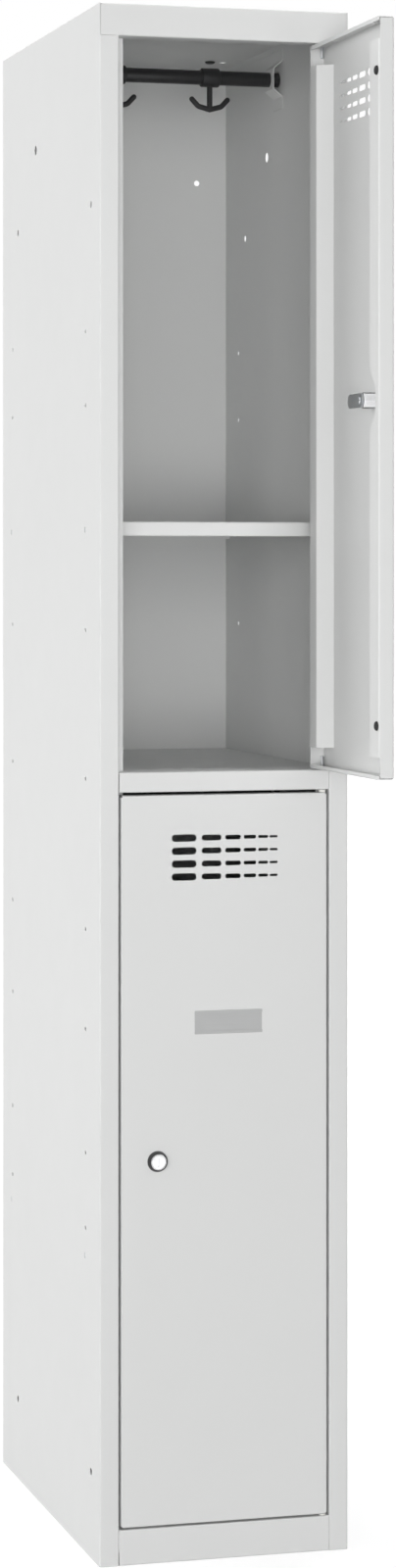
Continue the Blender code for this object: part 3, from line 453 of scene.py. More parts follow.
# %% Black coat
BLACK_COAT = (0.019, 0.019, 0.02)
BLACK_COAT_TONES = (0.8, 1.35)
BLACK_COAT_ROUGHNESS = 0.35
BLACK_COAT_GLOSS = (0.22, 0.47)
RUB_STRETCH = (700, 40, 40)
COAT_PEEL_SCALE = 900
COAT_RELIEF = (0.2, 0.00003)


def black_coat(name, seed):
    net = new_finish(name, BLACK_COAT, BLACK_COAT_ROUGHNESS)
    rub = streaks(net, seed, RUB_STRETCH, CLOUD_DETAIL)
    peel = noise(net, place_on(net, seed), COAT_PEEL_SCALE)
    return finished(net, drift(net, rub, BLACK_COAT, BLACK_COAT_TONES),
                    between(rub, BLACK_COAT_GLOSS), bump(net, peel, COAT_RELIEF))


print("black coat", BLACK_COAT)

# %% [markdown]
# ## Black plastic
# The hooks, the lock's ring and the ceiling's plug are moulded. A fine Voronoi pattern
# gives the pits of the mould, and a cloud moves the tone and the gloss.

# %% Black plastic
BLACK_PLASTIC = (0.021, 0.021, 0.022)
BLACK_PLASTIC_TONES = (0.85, 1.3)
BLACK_PLASTIC_ROUGHNESS = 0.5
BLACK_PLASTIC_GLOSS = (0.38, 0.58)
MOULD_CLOUD_SCALE = 140
PIT_SCALE = 2200
PIT_RELIEF = (0.3, 0.00003)


def black_plastic(name, seed):
    net = new_finish(name, BLACK_PLASTIC, BLACK_PLASTIC_ROUGHNESS)
    spot = place_on(net, seed)
    pits = net.add("ShaderNodeTexVoronoi", {"feature": "SMOOTH_F1"},
                   {"Vector": spot, "Scale": PIT_SCALE})
    cloud = noise(net, spot, MOULD_CLOUD_SCALE, CLOUD_DETAIL)
    return finished(net, drift(net, cloud, BLACK_PLASTIC, BLACK_PLASTIC_TONES),
                    between(cloud, BLACK_PLASTIC_GLOSS), bump(net, pits, PIT_RELIEF))


print("black plastic", BLACK_PLASTIC)

# %% [markdown]
# ## Rubber
# The door's buttons are matt rubber that holds dust, so one busy noise makes the pale
# specks, the roughness and the grain.

# %% Rubber
RUBBER = (0.014, 0.014, 0.014)
RUBBER_TONES = (1.0, 2.2)
RUBBER_ROUGHNESS = 0.8
RUBBER_GLOSS = (0.7, 0.9)
DUST_SCALE = 420
DUST_DETAIL = 4.0
DUST_BREAKUP = 0.7
DUST_RELIEF = (0.3, 0.00004)


def rubber(name, seed):
    net = new_finish(name, RUBBER, RUBBER_ROUGHNESS)
    dust = noise(net, place_on(net, seed), DUST_SCALE, DUST_DETAIL, DUST_BREAKUP)
    return finished(net, drift(net, dust, RUBBER, RUBBER_TONES), between(dust, RUBBER_GLOSS),
                    bump(net, dust, DUST_RELIEF))


print("rubber", RUBBER)

# %% [markdown]
# ## The bright metals
# The lock is die cast and chrome plated: a mirror with hair-fine marks from handling. The
# pins, pegs, clip, cam and screw are steel with a thin coat of zinc, bluish and duller,
# with fine level lines in it, as drawing and rolling leave them.

# %% Chrome and zinc
METAL = 1.0
CHROME = (0.93, 0.93, 0.94)
CHROME_TONES = (0.96, 1.0)
CHROME_ROUGHNESS = 0.1
CHROME_GLOSS = (0.05, 0.17)
HAIR_STRETCH = (900, 5000, 900)
HAIR_DETAIL = 4.0
HAIR_RELIEF = (0.05, 0.00001)
ZINC = (0.66, 0.68, 0.71)
ZINC_COLD = (0.60, 0.63, 0.69)
ZINC_WARM = (0.72, 0.72, 0.70)
ZINC_ROUGHNESS = 0.35
ZINC_GLOSS = (0.22, 0.47)
ZINC_CLOUD_SCALE = 260
ZINC_CLOUD_SHARE = 0.6
DRAWN_STRETCH = (400, 400, 4000)
DRAWN_RELIEF = (0.1, 0.00002)


def chrome(name, seed):
    net = new_finish(name, CHROME, CHROME_ROUGHNESS, METAL)
    hairs = streaks(net, seed, HAIR_STRETCH, HAIR_DETAIL)
    return finished(net, drift(net, hairs, CHROME, CHROME_TONES), between(hairs, CHROME_GLOSS),
                    bump(net, hairs, HAIR_RELIEF))


def zinc_plate(name, seed):
    net = new_finish(name, ZINC, ZINC_ROUGHNESS, METAL)
    cloud = noise(net, place_on(net, seed), ZINC_CLOUD_SCALE, CLOUD_DETAIL)
    lines = streaks(net, seed, DRAWN_STRETCH, CLOUD_DETAIL)
    dull = cloud * ZINC_CLOUD_SHARE + lines * (1 - ZINC_CLOUD_SHARE)
    return finished(net, tint(net, cloud, ZINC_COLD, ZINC_WARM), between(dull, ZINC_GLOSS),
                    bump(net, lines, DRAWN_RELIEF))


print("chrome", CHROME, "zinc", ZINC)

# %% [markdown]
# ## Nylon washers
# Washers of plain nylon keep the door off the frame. Nylon is milky, not quite white,
# and goes a little yellow, so two pale tones and a soft bump are mixed by a noise.

# %% Nylon
NYLON = (0.84, 0.84, 0.80)
NYLON_TONES = (0.94, 1.0)
NYLON_ROUGHNESS = 0.5
NYLON_GLOSS = (0.42, 0.57)
NYLON_CLOUD_SCALE = 300
NYLON_RELIEF = (0.15, 0.00004)


def nylon(name, seed):
    net = new_finish(name, NYLON, NYLON_ROUGHNESS)
    cloud = noise(net, place_on(net, seed), NYLON_CLOUD_SCALE, CLOUD_DETAIL)
    return finished(net, drift(net, cloud, NYLON, NYLON_TONES), between(cloud, NYLON_GLOSS),
                    bump(net, cloud, NYLON_RELIEF))


print("nylon", NYLON)

# %% [markdown]
# ## Small parts from a lathe
# Pegs, pins, washers, buttons, the lock and the rail are all round, so each can be
# turned: half of its section is drawn once and swept round an axis. The corners are
# rounded before the sweep, because a rounded corner catches a line of light as the real
# one does. Each finer part takes the place of its plain solid.

# %% A lathe in mesh code
WELD = 0.000001
CREASE = 32
ROUND_STEPS = 40
CORNER_STEPS = 3
SMOOTH_STEPS = 64
EDGE_ROUND = 0.0002
SMALL_ROUND = 0.0003
MEDIUM_ROUND = 0.0004
SOFT_ROUND = 0.0006
UP = Vector((0, 0, 1))
DOWN = Vector((0, 0, -1))
seeds = itertools.count(len(SHEETS))


def line_of(bm, points):
    """Join points by edges, one after the other, and give back their vertices."""
    verts = [bm.verts.new(point) for point in points]
    for pair in zip(verts, verts[1:]):
        bm.edges.new(pair)
    return verts


def round_corners(bm, corners, size, steps=CORNER_STEPS):
    bmesh.ops.bevel(bm, geom=corners, offset=size, offset_type="OFFSET", affect="VERTICES",
                    segments=steps, profile=0.5, material=-1)


def turn(outline, steps=ROUND_STEPS, closed=False):
    """Sweep (radius, height, rounding) points round Z into a closed shell."""
    bm = bmesh.new()
    verts = line_of(bm, [(radius, 0, height) for radius, height, _ in outline])
    if closed:
        bm.edges.new((verts[-1], verts[0]))
    for size in sorted({rounding for *_, rounding in outline if rounding}):
        corners = [vert for vert, point in zip(verts, outline) if point[2] == size]
        round_corners(bm, corners, size)
    bmesh.ops.spin(bm, geom=bm.verts[:] + bm.edges[:], cent=(0, 0, 0), axis=UP,
                   angle=math.tau, steps=steps, use_merge=True)
    bmesh.ops.remove_doubles(bm, verts=bm.verts, dist=WELD)
    bmesh.ops.recalc_face_normals(bm, faces=bm.faces)
    return bm


def stand_in(bm, node, finish, place=Matrix(), crease=CREASE):
    """Make a mesh the finer piece that takes a node's place on the same body."""
    name = node + "_fine"
    bmesh.ops.transform(bm, matrix=place, verts=bm.verts)
    mesh = bpy.data.meshes.new(name)
    bm.to_mesh(mesh)
    bm.free()
    mesh.shade_smooth()
    mesh.set_sharp_from_angle(angle=math.radians(crease))
    mesh.materials.append(finish(finish.__name__ + "_" + node, next(seeds)))
    piece = bpy.data.objects.new(name, mesh)
    bpy.context.scene.collection.objects.link(piece)
    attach(piece, frame["nodes"][node]["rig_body"])
    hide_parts(node)
    return piece


def middle_of(node):
    low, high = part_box(node)
    return (low + high) / 2


def along(axis, at=(0, 0, 0)):
    """Turn +Z to an axis and carry it to a place."""
    turned = UP.rotation_difference(Vector(axis)).to_matrix().to_4x4()
    return Matrix.Translation(at) @ turned


# %% [markdown]
# ## Shelf pegs
# Each shelf hooks over four pegs pushed through the sides. A real peg has a collar that
# stops against the wall and a rounded nose. Its axis and its place come from the solid.

# %% Pegs
PEG_RADIUS = 0.003
PEG_COLLAR = 0.0045
PEG_NECK = 0.0011
PEG_FLANGE = 0.0020
PEG_LENGTH = 0.0108
PEG_HEAD = 0.0002
PEG_NOSE = 0.0009
PEG_STEPS = 24
CASE_HALF = 0.150

peg_outline = (
    (0, -PEG_HEAD, 0),
    (PEG_RADIUS, -PEG_HEAD, MEDIUM_ROUND),
    (PEG_RADIUS, -PEG_NECK, 0),
    (PEG_COLLAR, -PEG_NECK, EDGE_ROUND),
    (PEG_COLLAR, -PEG_FLANGE, SMALL_ROUND),
    (PEG_RADIUS, -PEG_FLANGE, 0),
    (PEG_RADIUS, -PEG_LENGTH, PEG_NOSE),
    (0, -PEG_LENGTH, 0),
)
pegs = [name for name in frame["nodes"] if name.endswith("_peg")]
for name in pegs:
    spot = middle_of(name)
    hand = math.copysign(1, spot.x)
    spot.x = hand * CASE_HALF
    stand_in(turn(peg_outline, PEG_STEPS), name, zinc_plate, place=along((hand, 0, 0), spot))
print("pegs:", len(pegs))

# %% [markdown]
# ## Rails
# The rail is a drawn steel tube. Its cut ends are deburred, so the rim is round and the
# bore can be seen from the end.

# %% Rails
RAIL_RADIUS = 0.009
RAIL_BORE = 0.0078
RIM_SHARE = 0.4

for tier in TIERS:
    low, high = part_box(tier + "_rail")
    half = (high.x - low.x) / 2
    rim = (RAIL_RADIUS - RAIL_BORE) * RIM_SHARE
    tube = (
        (RAIL_BORE, half, rim),
        (RAIL_RADIUS, half, rim),
        (RAIL_RADIUS, -half, rim),
        (RAIL_BORE, -half, rim),
    )
    stand_in(turn(tube, SMOOTH_STEPS, closed=True), tier + "_rail", black_coat,
             place=along((1, 0, 0), (low + high) / 2))
print("rail length in m:", shown(2 * half))

# %% [markdown]
# ## Rods pulled and bent
# A rod starts as a circle of edges. It is pulled straight, spun round the centre of a
# bend, and closed by a half ball. A circle's edges are gathered in a fixed order, and not
# in a set's own, which may change from run to run.

# %% Pulling and bending a rod
ARM_SIDES = 24
KNEE_STEPS = 8
DOME_STEPS = 6
DOME_END = math.radians(88)


def ends_of(extruded, kind):
    return [item for item in extruded if isinstance(item, kind)]


def corners_of(ring):
    """The vertices of a ring of edges, each of them once."""
    return list(dict.fromkeys(vert for edge in ring for vert in edge.verts))


def circle(bm, radius, place, sides=SMOOTH_STEPS):
    """A ring of edges, each of them once."""
    made = bmesh.ops.create_circle(bm, segments=sides, radius=radius, matrix=place)
    return list(dict.fromkeys(edge for vert in made["verts"] for edge in vert.link_edges))


def pull(bm, ring, heading, length, scale=1.0):
    """Extrude a ring of edges, and shrink or widen its new end about its middle."""
    grown = bmesh.ops.extrude_edge_only(bm, edges=ring)["geom"]
    tips = ends_of(grown, bmesh.types.BMVert)
    bmesh.ops.translate(bm, verts=tips, vec=heading * length)
    middle = sum((vert.co for vert in tips), Vector()) / len(tips)
    bmesh.ops.scale(bm, vec=(scale, scale, scale), verts=tips,
                    space=Matrix.Translation(-middle))
    moved = set(tips)
    return [edge for edge in ends_of(grown, bmesh.types.BMEdge) if moved.issuperset(edge.verts)]


def bend(bm, ring, centre, axis, angle):
    """Spin a ring of edges round a centre, as a rod is bent round a former."""
    spun = bmesh.ops.spin(bm, geom=ring + corners_of(ring), cent=centre, axis=axis,
                          angle=angle, steps=KNEE_STEPS)
    return ends_of(spun["geom_last"], bmesh.types.BMEdge)


def dome(bm, ring, heading, radius):
    """Close a round end with a half ball."""
    done, width = 0.0, 1.0
    for step in range(1, DOME_STEPS + 1):
        tilt = DOME_END * step / DOME_STEPS
        rise = radius * math.sin(tilt)
        ring = pull(bm, ring, heading, rise - done, math.cos(tilt) / width)
        done, width = rise, math.cos(tilt)
    bmesh.ops.contextual_create(bm, geom=ring)


print("a bend has", KNEE_STEPS, "steps and a dome", DOME_STEPS)

# %% [markdown]
# ## One arm of a coat hook
# The arms leave the stem's foot nearly flat, turn up at a knee and end in round tips. The
# same steps make both, told apart by a side of -1 or 1. An arm starts a little inside
# the other one, so that the shells can be united.

# %% One arm
ARM_RADIUS = 0.0033
ARM_OVERLAP = 0.2
HOOK_DROP = 0.0395
FOOT_RISE = math.radians(15)
KNEE_RISE = math.radians(47)
FOOT_RUN = 0.0130
KNEE_BEND = 0.0080
ARM_RUN = 0.0095


def slope(side, rise):
    """A direction that climbs to one side."""
    return Vector((side * math.cos(rise), 0, math.sin(rise)))


def arm(side):
    """A run from the foot, the knee's bend, a second run and the tip."""
    bm = bmesh.new()
    heading = slope(side, FOOT_RISE)
    across = Vector((0, -side, 0))
    overlap = ARM_RADIUS * ARM_OVERLAP
    start = DOWN * HOOK_DROP - heading * overlap
    ring = circle(bm, ARM_RADIUS, along(heading, start), ARM_SIDES)
    bmesh.ops.contextual_create(bm, geom=ring)
    ring = pull(bm, ring, heading, FOOT_RUN + overlap)
    inward = across.cross(heading)
    middle = sum((vert.co for vert in corners_of(ring)), Vector()) / len(ring)
    ring = bend(bm, ring, middle + inward * KNEE_BEND, across, KNEE_RISE - FOOT_RISE)
    heading = slope(side, KNEE_RISE)
    ring = pull(bm, ring, heading, ARM_RUN)
    dome(bm, ring, heading, ARM_RADIUS)
    return bm


print("an arm's runs:", FOOT_RUN, ARM_RUN, "m")

# %% [markdown]
# ## Uniting and cutting shells
# What is moulded in one piece has no seams, so its shells are united to one. The same
# function cuts, for a hole or a screw's slot.

# %% Joining shells


def joined(name, shells, operation="UNION"):
    """Unite closed shells, or cut the later ones out of the first."""
    pieces = []
    for index, bm in enumerate(shells):
        bmesh.ops.recalc_face_normals(bm, faces=bm.faces)
        mesh = bpy.data.meshes.new("%s_%d" % (name, index))
        bm.to_mesh(mesh)
        bm.free()
        pieces.append(bpy.data.objects.new(mesh.name, mesh))
        bpy.context.scene.collection.objects.link(pieces[-1])
    for other in pieces[1:]:
        change = pieces[0].modifiers.new(other.name, "BOOLEAN")
        change.operation = operation
        change.solver = "EXACT"
        change.object = other
    graph = bpy.context.evaluated_depsgraph_get()
    whole = bmesh.new()
    whole.from_object(pieces[0], graph)
    for piece in pieces:
        bpy.data.objects.remove(piece)
    bmesh.ops.dissolve_degenerate(whole, dist=WELD, edges=whole.edges)
    return whole


print("degenerate edges go below", WELD, "m")

# %% [markdown]
# ## Coat hooks
# A double hook hangs from a sleeve that slides along the rail. The stem starts inside the
# sleeve's wall and ends at the foot, where both arms begin.

# %% Coat hooks
SLEEVE_HALF = 0.0115
SLEEVE_RADIUS = 0.0117
SLEEVE_BORE = 0.0093
SLEEVE_ROUND = 0.0017
STEM_RADIUS = 0.0034
STEM_SINK = 0.0011


def hook_shape():
    sleeve = turn((
        (SLEEVE_BORE, SLEEVE_HALF, SMALL_ROUND),
        (SLEEVE_RADIUS, SLEEVE_HALF, SLEEVE_ROUND),
        (SLEEVE_RADIUS, -SLEEVE_HALF, SLEEVE_ROUND),
        (SLEEVE_BORE, -SLEEVE_HALF, SMALL_ROUND),
    ), SMOOTH_STEPS, closed=True)
    bmesh.ops.transform(sleeve, matrix=along((1, 0, 0)), verts=sleeve.verts)
    stem = bmesh.new()
    start = SLEEVE_RADIUS - STEM_SINK
    ring = circle(stem, STEM_RADIUS, along(DOWN, DOWN * start), ARM_SIDES)
    bmesh.ops.contextual_create(stem, geom=ring)
    ring = pull(stem, ring, DOWN, HOOK_DROP - start)
    bmesh.ops.contextual_create(stem, geom=ring)
    return joined("hook", [sleeve, stem, arm(-1), arm(1)])


for tier in TIERS:
    rail_middle = middle_of(tier + "_rail")
    for side in ("left", "right"):
        node = "%s_%s_hook" % (tier, side)
        at = Vector((middle_of(node).x, rail_middle.y, rail_middle.z))
        stand_in(hook_shape(), node, black_plastic, place=Matrix.Translation(at))
        low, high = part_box(node)
        print(node, "solid", shown(*low, *high))

# %% [markdown]
# ## The plug in the ceiling
# A plastic button closes a hole in the top. Its head is a shallow dome under the ceiling
# and its stem fills the hole.

# %% Ceiling plug
PLUG_HEAD = 0.0067
PLUG_STEM = 0.003
PLUG_PROUD = 0.003
PLUG_SHOULDER = 0.93
PLUG_SHOULDER_DROP = 0.45
PLUG_CROWN = 0.66
PLUG_ROUND = 0.0009
CASE_TOP = 1.800
SHEET = 0.0008
FIT = 0.0003

ceiling = CASE_TOP - SHEET - FIT
plug_outline = (
    (0, CASE_TOP, 0),
    (PLUG_STEM, CASE_TOP, 0),
    (PLUG_STEM, ceiling, 0),
    (PLUG_HEAD, ceiling, SMALL_ROUND),
    (PLUG_HEAD * PLUG_SHOULDER, ceiling - PLUG_PROUD * PLUG_SHOULDER_DROP, SOFT_ROUND),
    (PLUG_HEAD * PLUG_CROWN, ceiling - PLUG_PROUD, PLUG_ROUND),
    (0, ceiling - PLUG_PROUD, 0),
)
spot = middle_of("ceiling_plug")
stand_in(turn(plug_outline), "ceiling_plug", black_plastic,
         place=Matrix.Translation((spot.x, spot.y, 0)))
print("plug at", shown(*spot.xy))

# %% [markdown]
# ## What hangs on the doors
# Everything on a door is placed about its own pivot, because the upper door stands open
# and the lower one is shut. One matrix per door carries a part from the door's own
# measures to its place. The pivots come from the joints, and how deep the door's back
# lies is read from the shut one.

# %% Door pivots
OPEN_TURN = {"upper": 90, "lower": 0}

joint_at = {joint["name"]: Vector(joint["pos_m"]) for joint in frame["joints"]
            if "pos_m" in joint}
pivots = {}
for tier, angle in OPEN_TURN.items():
    at = joint_at[tier + "_door_hinge"]
    pivots[tier] = Matrix.Translation(at) @ Matrix.Rotation(math.radians(angle), 4, "Z")
    print(tier, "pivot", shown(*at))
door_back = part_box("lower_door")[1].y - joint_at["lower_door_hinge"].y

# %% [markdown]
# ## Hinge pins, washers and buttons
# A door turns on two plain steel pins, held off the frame by nylon washers. Two rubber
# buttons on its free side meet the frame's stop, so the door doesn't clang.

# %% Pins, washers and buttons
PIN_RADIUS = 0.002
WASHER_RADIUS = 0.004
WASHER_BORE = 0.00232
BUTTON_RADIUS = 0.0054
BUTTON_HEAD = 0.0025
BUTTON_NECK = 0.002
BUTTON_BARB = 0.003
BUTTON_END = -0.0036
BUTTON_CROWN = 0.75
BUTTON_SHOULDER = 0.45
BUTTON_ROUND = 0.0008
BUTTON_STEPS = 36
PIN_STEPS = 32


def half_height(node):
    low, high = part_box(node)
    return (high.z - low.z) / 2


def pin(half):
    return turn((
        (0, half, 0),
        (PIN_RADIUS, half, SOFT_ROUND),
        (PIN_RADIUS, -half, SOFT_ROUND),
        (0, -half, 0),
    ), PIN_STEPS)


def washer(half):
    return turn((
        (WASHER_BORE, half, EDGE_ROUND),
        (WASHER_RADIUS, half, MEDIUM_ROUND),
        (WASHER_RADIUS, -half, MEDIUM_ROUND),
        (WASHER_BORE, -half, EDGE_ROUND),
    ), PIN_STEPS, closed=True)


button_outline = (
    (0, BUTTON_HEAD, 0),
    (BUTTON_RADIUS * BUTTON_CROWN, BUTTON_HEAD, SOFT_ROUND),
    (BUTTON_RADIUS, BUTTON_HEAD * BUTTON_SHOULDER, BUTTON_ROUND),
    (BUTTON_RADIUS, FIT, EDGE_ROUND),
    (BUTTON_NECK, FIT, 0),
    (BUTTON_NECK, -SHEET - FIT, 0),
    (BUTTON_BARB, -SHEET - FIT, EDGE_ROUND),
    (BUTTON_NECK, BUTTON_END, SOFT_ROUND),
    (0, BUTTON_END, 0),
)
for tier, pivot in pivots.items():
    for where in ("top", "bottom"):
        for part, shape, finish in (("pin", pin, zinc_plate), ("washer", washer, nylon)):
            node = "%s_door_%s_%s" % (tier, where, part)
            stand_in(shape(half_height(node)), node, finish,
                     place=Matrix.Translation(middle_of(node)))
        node = "%s_door_%s_bumper" % (tier, where)
        spot = pivot.inverted() @ middle_of(node)
        spot.y = door_back
        stand_in(turn(button_outline, BUTTON_STEPS), node, rubber,
                 place=pivot @ along((0, 1, 0), spot))
print("pins, washers and buttons on", len(pivots), "doors")

# %% [markdown]
# ## Label holders
# A holder is one strip of thin sheet. Its top and bottom edges fold forward and over, and
# a name card slides in behind them. The section is drawn once, its corners are rounded,
# and it is pulled out to the holder's width and given its thickness.

# %% Label holders
LABEL_DEPTH = 0.0022
LABEL_SHEET = 0.0005
LABEL_LIP = 0.0035
LABEL_BEND = 0.0008
LABEL_BEND_STEPS = 6


def folded_strip(points, run, bend_size, bend_steps, wall):
    """Round a line's corners, pull it along a run, and give the strip its wall."""
    bm = bmesh.new()
    inner = line_of(bm, points)[1:-1]
    if inner:
        round_corners(bm, inner, bend_size, bend_steps)
    strip = bmesh.ops.extrude_edge_only(bm, edges=bm.edges)["geom"]
    bmesh.ops.translate(bm, verts=ends_of(strip, bmesh.types.BMVert), vec=run)
    bmesh.ops.recalc_face_normals(bm, faces=bm.faces)
    if sum(face.normal.y * face.calc_area() for face in bm.faces) < 0:
        bmesh.ops.reverse_faces(bm, faces=bm.faces)
    bmesh.ops.solidify(bm, geom=bm.faces[:], thickness=wall)
    bmesh.ops.recalc_face_normals(bm, faces=bm.faces)
    return bm


def label_holder(width, height):
    """The section in Y and Z, with the plate's back at Y zero and the folds towards -Y."""
    half = height / 2
    section = ((-LABEL_DEPTH, half - LABEL_LIP), (-LABEL_DEPTH, half), (0, half),
               (0, -half), (-LABEL_DEPTH, -half), (-LABEL_DEPTH, LABEL_LIP - half))
    points = [(-width / 2, y, z) for y, z in section]
    return folded_strip(points, (width, 0, 0), LABEL_BEND, LABEL_BEND_STEPS, LABEL_SHEET)


for tier, pivot in pivots.items():
    node = tier + "_label_holder"
    low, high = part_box(node)
    spot = pivot.inverted() @ middle_of(node)
    spot.y += LABEL_DEPTH / 2
    width = max(high.x - low.x, high.y - low.y)
    stand_in(label_holder(width, high.z - low.z), node, label_paint,
             place=pivot @ Matrix.Translation(spot))
    print(node, "width and height", shown(width, high.z - low.z))

# %% [markdown]
# ## The doors' narrow returns
# A door pan's flanges don't end in a raw edge. The top and bottom ones turn in by a few
# millimetres, and so does the hinge side past the ends of its channel. Each return is a
# strip of the same sheet.

# %% Door returns
RETURN = 0.0045
RETURN_FIT = 0.0002
SHEET_BEND = 0.0018
SHEET_BEND_STEPS = 5
CHANNEL_INSET = 0.0247

shut_low, shut_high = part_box("lower_door")
hinge_edge = shut_high.x - joint_at["lower_door_hinge"].x
free_edge = shut_low.x - joint_at["lower_door_hinge"].x
door_half = half_height("lower_door")


def sheet_strip(points, run):
    return folded_strip(points, run, SHEET_BEND, SHEET_BEND_STEPS, SHEET)


def door_returns():
    """The four strips of one door, in the door's own measures."""
    back = door_back - WELD
    side = hinge_edge - WELD
    strips = []
    for end in (-1, 1):
        top = end * (door_half - SHEET / 2)
        low = end * (door_half - RETURN)
        left = free_edge + SHEET + RETURN_FIT
        run = Vector((side - RETURN - RETURN_FIT - left, 0, 0))
        strips.append(sheet_strip((Vector((left, back, top)), Vector((left, back, low))), run))
        foot = end * (door_half - CHANNEL_INSET - RETURN_FIT)
        line = ((side, back - SHEET_BEND - SHEET, foot), (side, back, foot),
                (side - RETURN, back, foot))
        run = Vector((0, 0, end * (CHANNEL_INSET + RETURN_FIT - SHEET_BEND)))
        strips.append(sheet_strip(line, run))
    return strips


print("returns turn in by", RETURN, "m")

# %% [markdown]
# ## Finer doors
# A copy of the door's solid has its loose triangles merged, the two holes that a painter
# hangs the door by are drilled in it, and then each return is united with it. Weighted
# normals keep the wide faces flat to the eye beside their round bends.

# %% Doors with returns and hanging holes
HANG_RADIUS = 0.0033
HANG_FROM_HINGE = 0.059
HANG_FROM_FREE = 0.053
HANG_BACK = 0.002
HANG_STEPS = 32
HANG_CUT = 4 * SHEET
DOOR_CREASE = 40


def merged_copy(node):
    """A copy of a solid's mesh, with its loose triangles joined."""
    bm = bmesh.new()
    bm.from_mesh(frame["nodes"][node].data)
    bmesh.ops.remove_doubles(bm, verts=bm.verts, dist=WELD)
    return bm


def drill(at, radius, length):
    """An upright closed cylinder to cut with."""
    bm = bmesh.new()
    bmesh.ops.create_cone(bm, cap_ends=True, segments=HANG_STEPS, radius1=radius, radius2=radius,
                          depth=length, matrix=Matrix.Translation(at))
    return bm


for tier, pivot in pivots.items():
    node = tier + "_door"
    strips = door_returns()
    for strip in strips:
        bmesh.ops.transform(strip, matrix=pivot, verts=strip.verts)
    holes = [drill(pivot @ Vector((x, HANG_BACK, door_half)), HANG_RADIUS, HANG_CUT)
             for x in (hinge_edge - HANG_FROM_HINGE, free_edge + HANG_FROM_FREE)]
    drilled = joined(node, [merged_copy(node)] + holes, "DIFFERENCE")
    whole = joined(node, [drilled] + strips)
    unclosed = sum(not edge.is_manifold for edge in whole.edges)
    print(node, "faces", len(whole.faces), "unclosed edges", unclosed)
    piece = stand_in(whole, node, powder_coat, crease=DOOR_CREASE)
    piece.modifiers.new("weighted_normals", "WEIGHTED_NORMAL").keep_sharp = True

# %% [markdown]
# ## The cam lock, outside
# The lock's barrel goes through a round hole in the door, and a tapered plastic ring
# hides the hole. One matrix per lock carries its parts to the axis of its joint.

# %% Lock axles and ring
RING_RADIUS = 0.0122
RING_TIP = 0.0102
RING_HEIGHT = 0.0070
RING_BORE = 0.00965
RING_ROUND = 0.0005

axles = {}
for tier, pivot in pivots.items():
    turned = pivot.to_3x3().to_4x4() @ Matrix.Rotation(QUARTER_TURN, 4, "X")
    axles[tier] = Matrix.Translation(joint_at[tier + "_lock_turn"]) @ turned

ring_outline = (
    (RING_BORE, RING_HEIGHT, MEDIUM_ROUND),
    (RING_TIP, RING_HEIGHT, RING_ROUND),
    (RING_RADIUS, FIT, SMALL_ROUND),
    (RING_BORE, FIT, 0),
)
print("lock axles:", len(axles))

# %% [markdown]
# ## The plug with its key slot
# The plug turns with the key and fills the barrel's mouth. The key slot is a thin upright
# cut with a small foot. Its outline is bridged to a circle, which makes the face with the
# slot left open, and then the slot is pushed in. The circle is pulled on to make the
# plug's body, and its last ring is pressed square for the tail.

# %% Lock plug
BARREL_MOUTH = 0.0062
BARREL_END = -0.0230
FACE_RADIUS = 0.0083
FACE_THICK = 0.0020
FACE_EDGE = 0.0005
FACE_EDGE_SHARE = 0.3
CORE_RADIUS = 0.006
CORE_BORE = 0.0021
CORE_BORE_DEPTH = 0.0080
TAIL_HALF = 0.0035
CAM_GAP = 0.0003
CAM_THICK = 0.002
SLOT_HALF = 0.0052
SLOT_WIDE = 0.0011
SLOT_FOOT = 0.0011
SLOT_FOOT_SLANT = 0.5
SLOT_DEPTH = 0.004


def loop_of(bm, points, height):
    verts = [bm.verts.new((x, y, height)) for x, y in points]
    return [bm.edges.new(pair) for pair in zip(verts, verts[1:] + verts[:1])]


def lock_face():
    """The plug: its slotted face, its body, and the square tail for the cam."""
    bm = bmesh.new()
    rim = circle(bm, FACE_RADIUS - FACE_EDGE, Matrix.Translation(UP * BARREL_MOUTH))
    wide = SLOT_WIDE / 2
    slot = ((wide, SLOT_HALF), (-wide, SLOT_HALF), (-wide, -SLOT_HALF + SLOT_FOOT),
            (-wide - SLOT_FOOT, -SLOT_HALF + SLOT_FOOT * SLOT_FOOT_SLANT),
            (-wide - SLOT_FOOT, -SLOT_HALF), (wide, -SLOT_HALF))
    key = loop_of(bm, slot, BARREL_MOUTH)
    bmesh.ops.bridge_loops(bm, edges=rim + key)
    key = pull(bm, key, DOWN, SLOT_DEPTH)
    bmesh.ops.contextual_create(bm, geom=key)
    edge_step = FACE_EDGE * FACE_EDGE_SHARE
    steps = (
        (FACE_RADIUS - edge_step, edge_step),
        (FACE_RADIUS, FACE_EDGE),
        (FACE_RADIUS, FACE_THICK),
        (CORE_RADIUS, FACE_THICK),
        (CORE_RADIUS, BARREL_MOUTH - BARREL_END + CAM_GAP),
        (TAIL_HALF, BARREL_MOUTH - BARREL_END + CAM_GAP),
    )
    size, depth = FACE_RADIUS - FACE_EDGE, 0.0
    for radius, down in steps:
        rim = pull(bm, rim, DOWN, down - depth, radius / size)
        size, depth = radius, down
    for vert in corners_of(rim):
        reach = max(abs(vert.co.x), abs(vert.co.y))
        vert.co.x *= TAIL_HALF / reach
        vert.co.y *= TAIL_HALF / reach
    rim = pull(bm, rim, DOWN, CAM_THICK)
    bottom = BARREL_END - CAM_GAP - CAM_THICK
    hole = circle(bm, CORE_BORE, Matrix.Translation(UP * bottom))
    bmesh.ops.bridge_loops(bm, edges=rim + hole)
    hole = pull(bm, hole, UP, CORE_BORE_DEPTH)
    bmesh.ops.contextual_create(bm, geom=hole)
    bmesh.ops.recalc_face_normals(bm, faces=bm.faces)
    return bm


for tier, axle in axles.items():
    stand_in(turn(ring_outline, SMOOTH_STEPS, closed=True), tier + "_lock_rosette",
             black_plastic, place=axle)
    stand_in(lock_face(), tier + "_lock_plug", chrome, place=axle)
    print(tier, "lock at", shown(*axle.translation))

